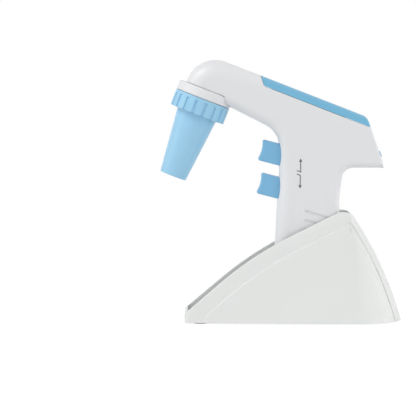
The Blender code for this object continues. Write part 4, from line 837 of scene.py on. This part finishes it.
def makeTrigger(which):
    # a block with a hollow finger face and softened edges, and the flange that keeps it behind the wall
    faceX, faceZ = trigger["faces"][which]
    tilt, sag = trigger["tilt"], trigger["sag"]
    half = trigger["height"] / 2
    sine, cosine = math.sin(tilt), math.cos(tilt)
    footLean = (gripFront[0][0] - gripFront[1][0]) / (gripFront[0][1] - gripFront[1][1])
    lean = 0 if faceZ - half > gripLine["topZ"] else footLean

    def wallAt(z, behind=0.0):
        # depth of the wall's inner side below the finger face
        innerX = gripLine["throatX"] + shell["wall"] - lean * (gripLine["topZ"] - faceZ - z * cosine)
        return (innerX - faceX - z * sine) / (cosine + lean * sine) + behind

    stop = 2 * shell["gap"]
    faceR = (half ** 2 + sag ** 2) / (2 * sag)
    z = np.linspace(half, -half, 17)[1:-1]
    depth = sag - (faceR - np.sqrt(faceR ** 2 - z ** 2))
    keep = np.abs(z) < half - 2 * trigger["corner"]
    edge, frontEdge = trigger["edge"], trigger["frontEdge"]
    middle = stop + trigger["flange"] / 2
    corners = [(wallAt(-half, middle), -half, 0, edge), (wallAt(half, middle), half, 0, edge)]
    corners += [(0, half, trigger["corner"], frontEdge)]
    corners += [(float(d), float(level), 0, frontEdge) for d, level in zip(depth[keep], z[keep])]
    corners += [(0, -half, trigger["corner"], frontEdge)]
    pad = roundedSlab(f"{which}_pad", filletedOutline(corners, math.radians(15)), trigger["width"] / 2, steps=6)
    lip, back, wide = half + trigger["lip"], stop + trigger["flange"], trigger["width"] / 2 - shell["gap"]
    outline = [(wallAt(level, behind), level)
               for level, behind in ((-lip, stop), (-lip, back), (lip, back), (lip, stop))]
    carve(pad, [slab("flange", outline, -wide, wide)], "UNION")
    pad.data.transform(slidePlace(which))
    finishPiece(evened(pad), f"{which}_trigger", "sky_blue_abs", [f"{which}_trigger"])


# Rear face

def makeRearFace():
    # the display's window, and the button under it with the flange that keeps it behind the wall
    gap = shell["gap"]
    up, high, wide = faceSlot("window")
    lens = roundedBox("display_window", (-gap - rearFace["lens"], -wide / 2 + gap, up - high / 2 + gap),
                      (-gap, wide / 2 - gap, up + high / 2 - gap), 0.0005, rearPlace)
    finishPiece(evened(lens), "controller", "smoked_window", ["display_lens"])
    up, high, wide = faceSlot("button")
    low = (-shell["wall"] - gap, -wide / 2 + gap, up - high / 2 + gap)
    top = (rearFace["buttonProud"], wide / 2 - gap, up + high / 2 - gap)
    button = roundedBox("speed_key", low, top, 0.0008, rearPlace)
    lip = rearFace["flange"]
    flange = plainBox("keyFlange", (low[0] - 0.001, low[1] - lip, low[2] - lip),
                      (low[0] + 0.00001, -low[1] + lip, top[2] + lip), rearPlace)
    carve(button, [flange], "UNION")
    finishPiece(evened(button), "speed_button", "sky_blue_abs", ["speed_button"])


# Stand

# shares: how far round half the skin the front, the corner and the side end
stand = dict(frontX=-0.0722, footX=0.0905, low=0.001, rearR=0.290, rearLean=math.radians(15.7), lean=math.radians(14.2),
             frontHalf=0.033, creaseHalf=0.041, creaseX=0.05175, cornerR=0.004, wall=0.0025, lipZ=0.0076,
             bend=(-0.0213, 0.0509, 0.260), peak=(0.0502, 0.0860, 0.011), peakRearLean=math.radians(31.5), rimR=0.0009,
             aboveZ=0.0885, shares=(0.10, 0.16, 0.62))
panel = dict(band=0.0096, bandFront=0.0135, bandRear=0.0066, cornerR=0.0045, start=0.0012, height=0.0014,
             root=-0.001, clear=0.0021, topZ=0.083, channelWidth=0.0015, channelDepth=0.00055)
standPost = dict(x=(-0.0502, 0.03975), radius=0.0035, low=0.0048, top=0.0128, bore=0.0010, boreTop=0.0112)


def standRearX(z):
    # an arc that leans forward
    centreX = stand["footX"] - stand["rearR"] * math.cos(stand["rearLean"])
    centreZ = -stand["rearR"] * math.sin(stand["rearLean"])
    return centreX + np.sqrt(stand["rearR"] ** 2 - (z - centreZ) ** 2)


def standHalf(x, z, inset):
    # half width of the sides, which widen to the crease and lean in as they rise
    slope = (stand["creaseHalf"] - stand["frontHalf"]) / (stand["creaseX"] - stand["frontX"])
    half = stand["frontHalf"] + (x - stand["frontX"]) * slope
    return half - z * math.tan(stand["lean"]) - inset / math.cos(stand["lean"])


def standPlan(s, z, inset):
    # place on the stand's skin: s from 0, the middle of the front, along the near side to 1, the middle of the rear.
    # Straight front, corner arc, side that widens to the crease, then a quarter of an ellipse.
    front = stand["frontX"] + inset
    crease = stand["creaseX"] - 1.2 * inset
    halfFront, halfCrease = standHalf(front, z, inset), standHalf(crease, z, inset)
    depth = np.maximum(standRearX(z) - inset / math.cos(stand["rearLean"]) - crease, 0.0006)
    radius = stand["cornerR"] - inset
    marks = (0, *stand["shares"], 1)
    along, corner, side, rear = [np.clip((s - a) / (b - a), 0, 1) for a, b in zip(marks, marks[1:])]
    corner, rear = np.radians(90) * corner, np.radians(90) * rear
    xSide = front + radius + side * (crease - front - radius)
    ySide = -halfFront - (halfCrease - halfFront) * (xSide - front) / (crease - front) * (side > 0)
    within = [s <= mark for mark in stand["shares"]]
    x = np.select(within, [front + 0 * s * z, front + radius * (1 - np.cos(corner)), xSide],
                  crease + depth * np.sin(rear))
    y = np.select(within, [-(halfFront - radius) * along, -halfFront + radius * (1 - np.sin(corner)), ySide],
                  -halfCrease * np.cos(rear))
    return x, y


def rimCorners(drop=0.0, rearDrop=0.0):
    # side view of the rim, moved inward by a drop and its rear slope forward: bend, peak, and the ramp's height at an x
    bendX, bendZ, _ = stand["bend"]
    peakX, peakZ, _ = stand["peak"]
    rise = (bendZ - stand["lipZ"]) / (bendX - stand["frontX"])
    climb = (peakZ - bendZ) / (peakX - bendX)
    fall = -1 / math.tan(stand["peakRearLean"])
    frontBase = stand["lipZ"] - rise * stand["frontX"] - drop * math.hypot(1, rise)
    topBase = bendZ - climb * bendX - drop * math.hypot(1, climb)
    rearBase = peakZ - fall * (peakX - rearDrop)
    bend = (topBase - frontBase) / (rise - climb)
    peak = (rearBase - topBase) / (climb - fall)
    return (bend, frontBase + rise * bend), (peak, topBase + climb * peak), lambda x: frontBase + rise * x


def rimProfile():
    # the rim's line: ramp, long bend, climb, round peak, rear slope
    bend, peak, ramp = rimCorners()
    before, foot = stand["frontX"] - 0.03, peak[0] + peak[1] * math.tan(stand["peakRearLean"])
    points = cornerArcs([(before, ramp(before)), bend, peak, (foot, 0.0)], (stand["bend"][2], stand["peak"][2]), 24)
    return points[:, 0], points[:, 1]


def rimHeight(s, inset, drop):
    # where a column of the skin meets the rim: z = rim(x(s, z)), by halving between the foot and above the peak
    lineX, lineZ = rimProfile()
    slope = np.gradient(lineZ, lineX)
    low, high = np.full(s.shape, stand["low"]), np.full(s.shape, stand["aboveZ"])
    for _ in range(36):
        z = (low + high) / 2
        x, _ = standPlan(s, z, inset)
        rim = np.interp(x, lineX, lineZ) - drop * np.sqrt(1 + np.interp(x, lineX, slope) ** 2)
        above = z > rim
        high, low = np.where(above, z, high), np.where(above, low, z)
    return (low + high) / 2


def skinHalf(x, z):
    # half width of the skin at a place of the side view
    crease = stand["creaseX"]
    past = np.clip((x - crease) / (standRearX(z) - crease), 0, 0.999)
    return standHalf(np.minimum(x, crease), z, 0.0) * np.sqrt(1 - past ** 2)


def besideSkin(x, z, level):
    # a place on the far side, off the skin by a level along its normal (-dh/dx, 1, -dh/dz)
    e = 0.00001
    alongX = (skinHalf(x + e, z) - skinHalf(x - e, z)) / (2 * e)
    alongZ = (skinHalf(x, z + e) - skinHalf(x, z - e)) / (2 * e)
    length = np.sqrt(1 + alongX ** 2 + alongZ ** 2)
    return np.stack((x - alongX / length * level, skinHalf(x, z) + level / length, z - alongZ / length * level), 1)


def panelLine():
    # side view of the panels' edge, as points and the way in: front, foot, rear slope, round peak, climb, bend, ramp
    bend, peak, ramp = rimCorners(panel["band"], panel["bandRear"])
    front, low = stand["frontX"] + panel["bandFront"], stand["low"] - 0.004
    corners = [(front, low, 0, 0)]
    for z in np.linspace(low, peak[1], 20):
        x = standRearX(z) - panel["bandRear"]
        if x + 0.0005 < peak[0] + (peak[1] - z) * math.tan(stand["peakRearLean"]):
            corners.append((float(x), float(z), 0, 0))
    corners += [(*peak, panel["cornerR"], 0), (*bend, stand["bend"][2], 0), (front, ramp(front), 0, 0)]
    return filletedOutline(corners)[:2]


def panelEdge():
    # cutter round both panels, with drafted walls that lean in by as much as they rise off the skin
    points, inwards = panelLine()
    rows = []
    for reach in (panel["root"], panel["clear"]):
        place = points + inwards * (panel["start"] + reach)
        rows.append(besideSkin(place[:, 0], place[:, 1], reach))
    side = np.stack([rows[1] * (1, 0, 1) + (0, 0.06, 0), rows[1], rows[0]])
    return gridObject("panelEdge", np.concatenate((side, mirrored(side[::-1]))))


def makeChannels():
    # cutters for the narrow channel behind each panel: a ribbon along the rear part of the panel's edge, sunk in the
    # skin by a depth that runs out round the peak
    points, inwards = panelLine()
    peak = rimCorners(panel["band"], panel["bandRear"])[1]
    rear = (points[:, 0] > peak[0] - 0.004) & (points[:, 1] > stand["low"] - 0.003)
    points, inwards = points[rear], inwards[rear]
    depth = panel["channelDepth"] * np.clip(inwards[:, 0] / -0.5, 0.02, 1)
    inner, outer, clear = 0.0003, -panel["channelWidth"], 0.06
    ribbon = []
    for across, level, rise in ((inner, 0, clear), (inner, 1, 0), (outer, 1, 0), (outer, 0, clear)):
        x, z = (points + inwards * across).T
        ribbon.append(np.stack((x, rise + level * (skinHalf(x, z) - depth), z), 1))
    ribbon = np.stack(ribbon, 1)
    return joined("channels", [gridObject("channel", side) for side in (ribbon, mirrored(ribbon))])


def bothSides(half):
    # rows from the middle of the front to the middle of the rear, and back along the other side
    return np.concatenate((half, mirrored(half[:, -2:0:-1])), 1)


def makePanel():
    # both panels: the skin moved out by their height, inside the panels' edge
    _, corner, crease = stand["shares"]
    s = np.concatenate((
        np.linspace(0, corner, 9)[:-1], np.linspace(corner, crease, 30)[:-1], np.linspace(crease, 1, 60)))
    forms = []
    foot, top = stand["low"] + 0.0002, panel["topZ"]
    for inset, low, high in ((-panel["height"], foot, top), (stand["wall"] / 2, -0.005, 0.086)):
        rows = []
        for z in np.linspace(low, high, 24):
            rows.append(np.stack((*standPlan(s, np.full(s.shape, z), inset), np.full(s.shape, z)), 1))
        forms.append(gridObject("panelForm", bothSides(np.stack(rows))))
    outer, core = forms
    carve(outer, [core])
    return carve(outer, [panelEdge()], "INTERSECT")


def standColumns():
    # places along half the skin, close together where the form turns
    return np.concatenate((np.linspace(0, 0.1, 9)[:-1], np.linspace(0.1, 0.16, 9)[:-1], np.linspace(0.16, 0.6185, 90),
                           (0.62, 0.6215), np.linspace(0.625, 1, 90)))


def makeStandShell():
    # skin(s, z, inset): outside up to the rim, a rounded rim, and the inside down again, closed under the wall
    s, low, inner, radius = standColumns(), stand["low"], stand["wall"], stand["rimR"]
    grid = []

    def addRow(z, inset):
        grid.append(np.stack((*standPlan(s, z, inset), z), 1))

    rim = rimHeight(s, 0.0, radius)
    for share in np.linspace(0, 1, 30):
        addRow(low + share * (rim - low), 0.0)
    for inside, turns in ((False, np.linspace(0, 90, 6)[1:]), (True, np.linspace(90, 0, 6))):
        for turn in np.radians(turns):
            out, drop = radius * (1 - math.cos(turn)), radius * (1 - math.sin(turn))
            inset = inner - out if inside else out
            addRow(rimHeight(s, inset, drop), inset)
    rim = grid[-1][:, 2]
    for share in np.linspace(1, 0, 14)[1:]:
        addRow(low + share * (rim - low), inner)
    whole = bothSides(np.stack(grid))
    skin = meshObject("stand_skin", whole, gridFaces(*whole.shape[:2], wrapRows=True), 40)
    posts, bores = [], []
    for x in standPost["x"]:
        for side in (-1, 1):
            y = side * (standHalf(x, standPost["top"], inner) - 0.4 * standPost["radius"])
            place = Matrix.Translation((x, y, 0))
            posts.append(rod("screwPost", standPost["radius"], standPost["low"], standPost["top"], place, 32))
            bores.append(rod("screwBore", standPost["bore"], standPost["low"] - 0.002, standPost["boreTop"], place, 16))
    carve(skin, [makePanel()], "UNION")
    carve(skin, [makeChannels()])
    carve(skin, [joined("screwPosts", posts)], "UNION")
    carve(skin, [joined("screwBores", bores)])
    cleaned(skin)
    soften(skin, 24)
    finishPiece(skin, "stand", "stand_abs", ["stand_shell"])


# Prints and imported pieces

arrowPrint = dict(shaft=0.0007, head=0.0026, headLength=0.0026, proud=0.00004, sunk=0.00005, marks=dict(
    up=((0.01148, 0.11348), (0.01425, 0.11243), (0.01425, 0.12255)),
    down=((0.01148, 0.11093), (0.01400, 0.10988), (0.01380, 0.09998)),
))


def makeArrows():
    # pad-printed arrows between the triggers on both sides: a bent shaft of even width with a solid head, as thin ink
    half, headHalf, headLength = arrowPrint["shaft"] / 2, arrowPrint["head"] / 2, arrowPrint["headLength"]
    for name, marks in arrowPrint["marks"].items():
        tail, corner, tip = [np.array(mark) for mark in marks]
        first, second = unit(corner - tail), unit(tip - corner)
        left, up = inward(first), inward(second)
        neck = tip - second * headLength
        mitre = (left + up) / (1 + left @ up)
        outline = [tail - left * half, corner - mitre * half, neck - up * half, neck - up * headHalf, tip,
                   neck + up * headHalf, neck + up * half, corner + mitre * half, tail + left * half]
        for side, word in ((-1, "near"), (1, "far")):
            levels = sorted((side * (shell["half"] - arrowPrint["sunk"]), side * (shell["half"] + arrowPrint["proud"])))
            arrow = slab(f"arrow_{name}_{word}", outline, *levels)
            finishPiece(arrow, "controller", "black_plastic", [], "print_grey")


def dressPackedPieces():
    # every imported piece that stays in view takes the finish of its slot
    for part in frame["record"]["subparts"]:
        node = nodes[part["node"]]
        if node.hide_render:
            continue
        if not node.material_slots:
            node.data.materials.append(None)
        finish = "foot_grey" if "foot" in part["node"] else part["material_slot"]
        for holder in node.material_slots:
            holder.material = finishes[finish]


makeCollar()
makeNosepiece()
makeSleeve()
print("collar, nosepiece and sleeve made")
for which in trigger["faces"]:
    makeTrigger(which)
makeRearFace()
print("triggers, window and button made")
makeStandShell()
print("stand made")
makeArrows()
dressPackedPieces()
print("arrows printed, packed pieces finished")
makeStudio()
print("studio made")
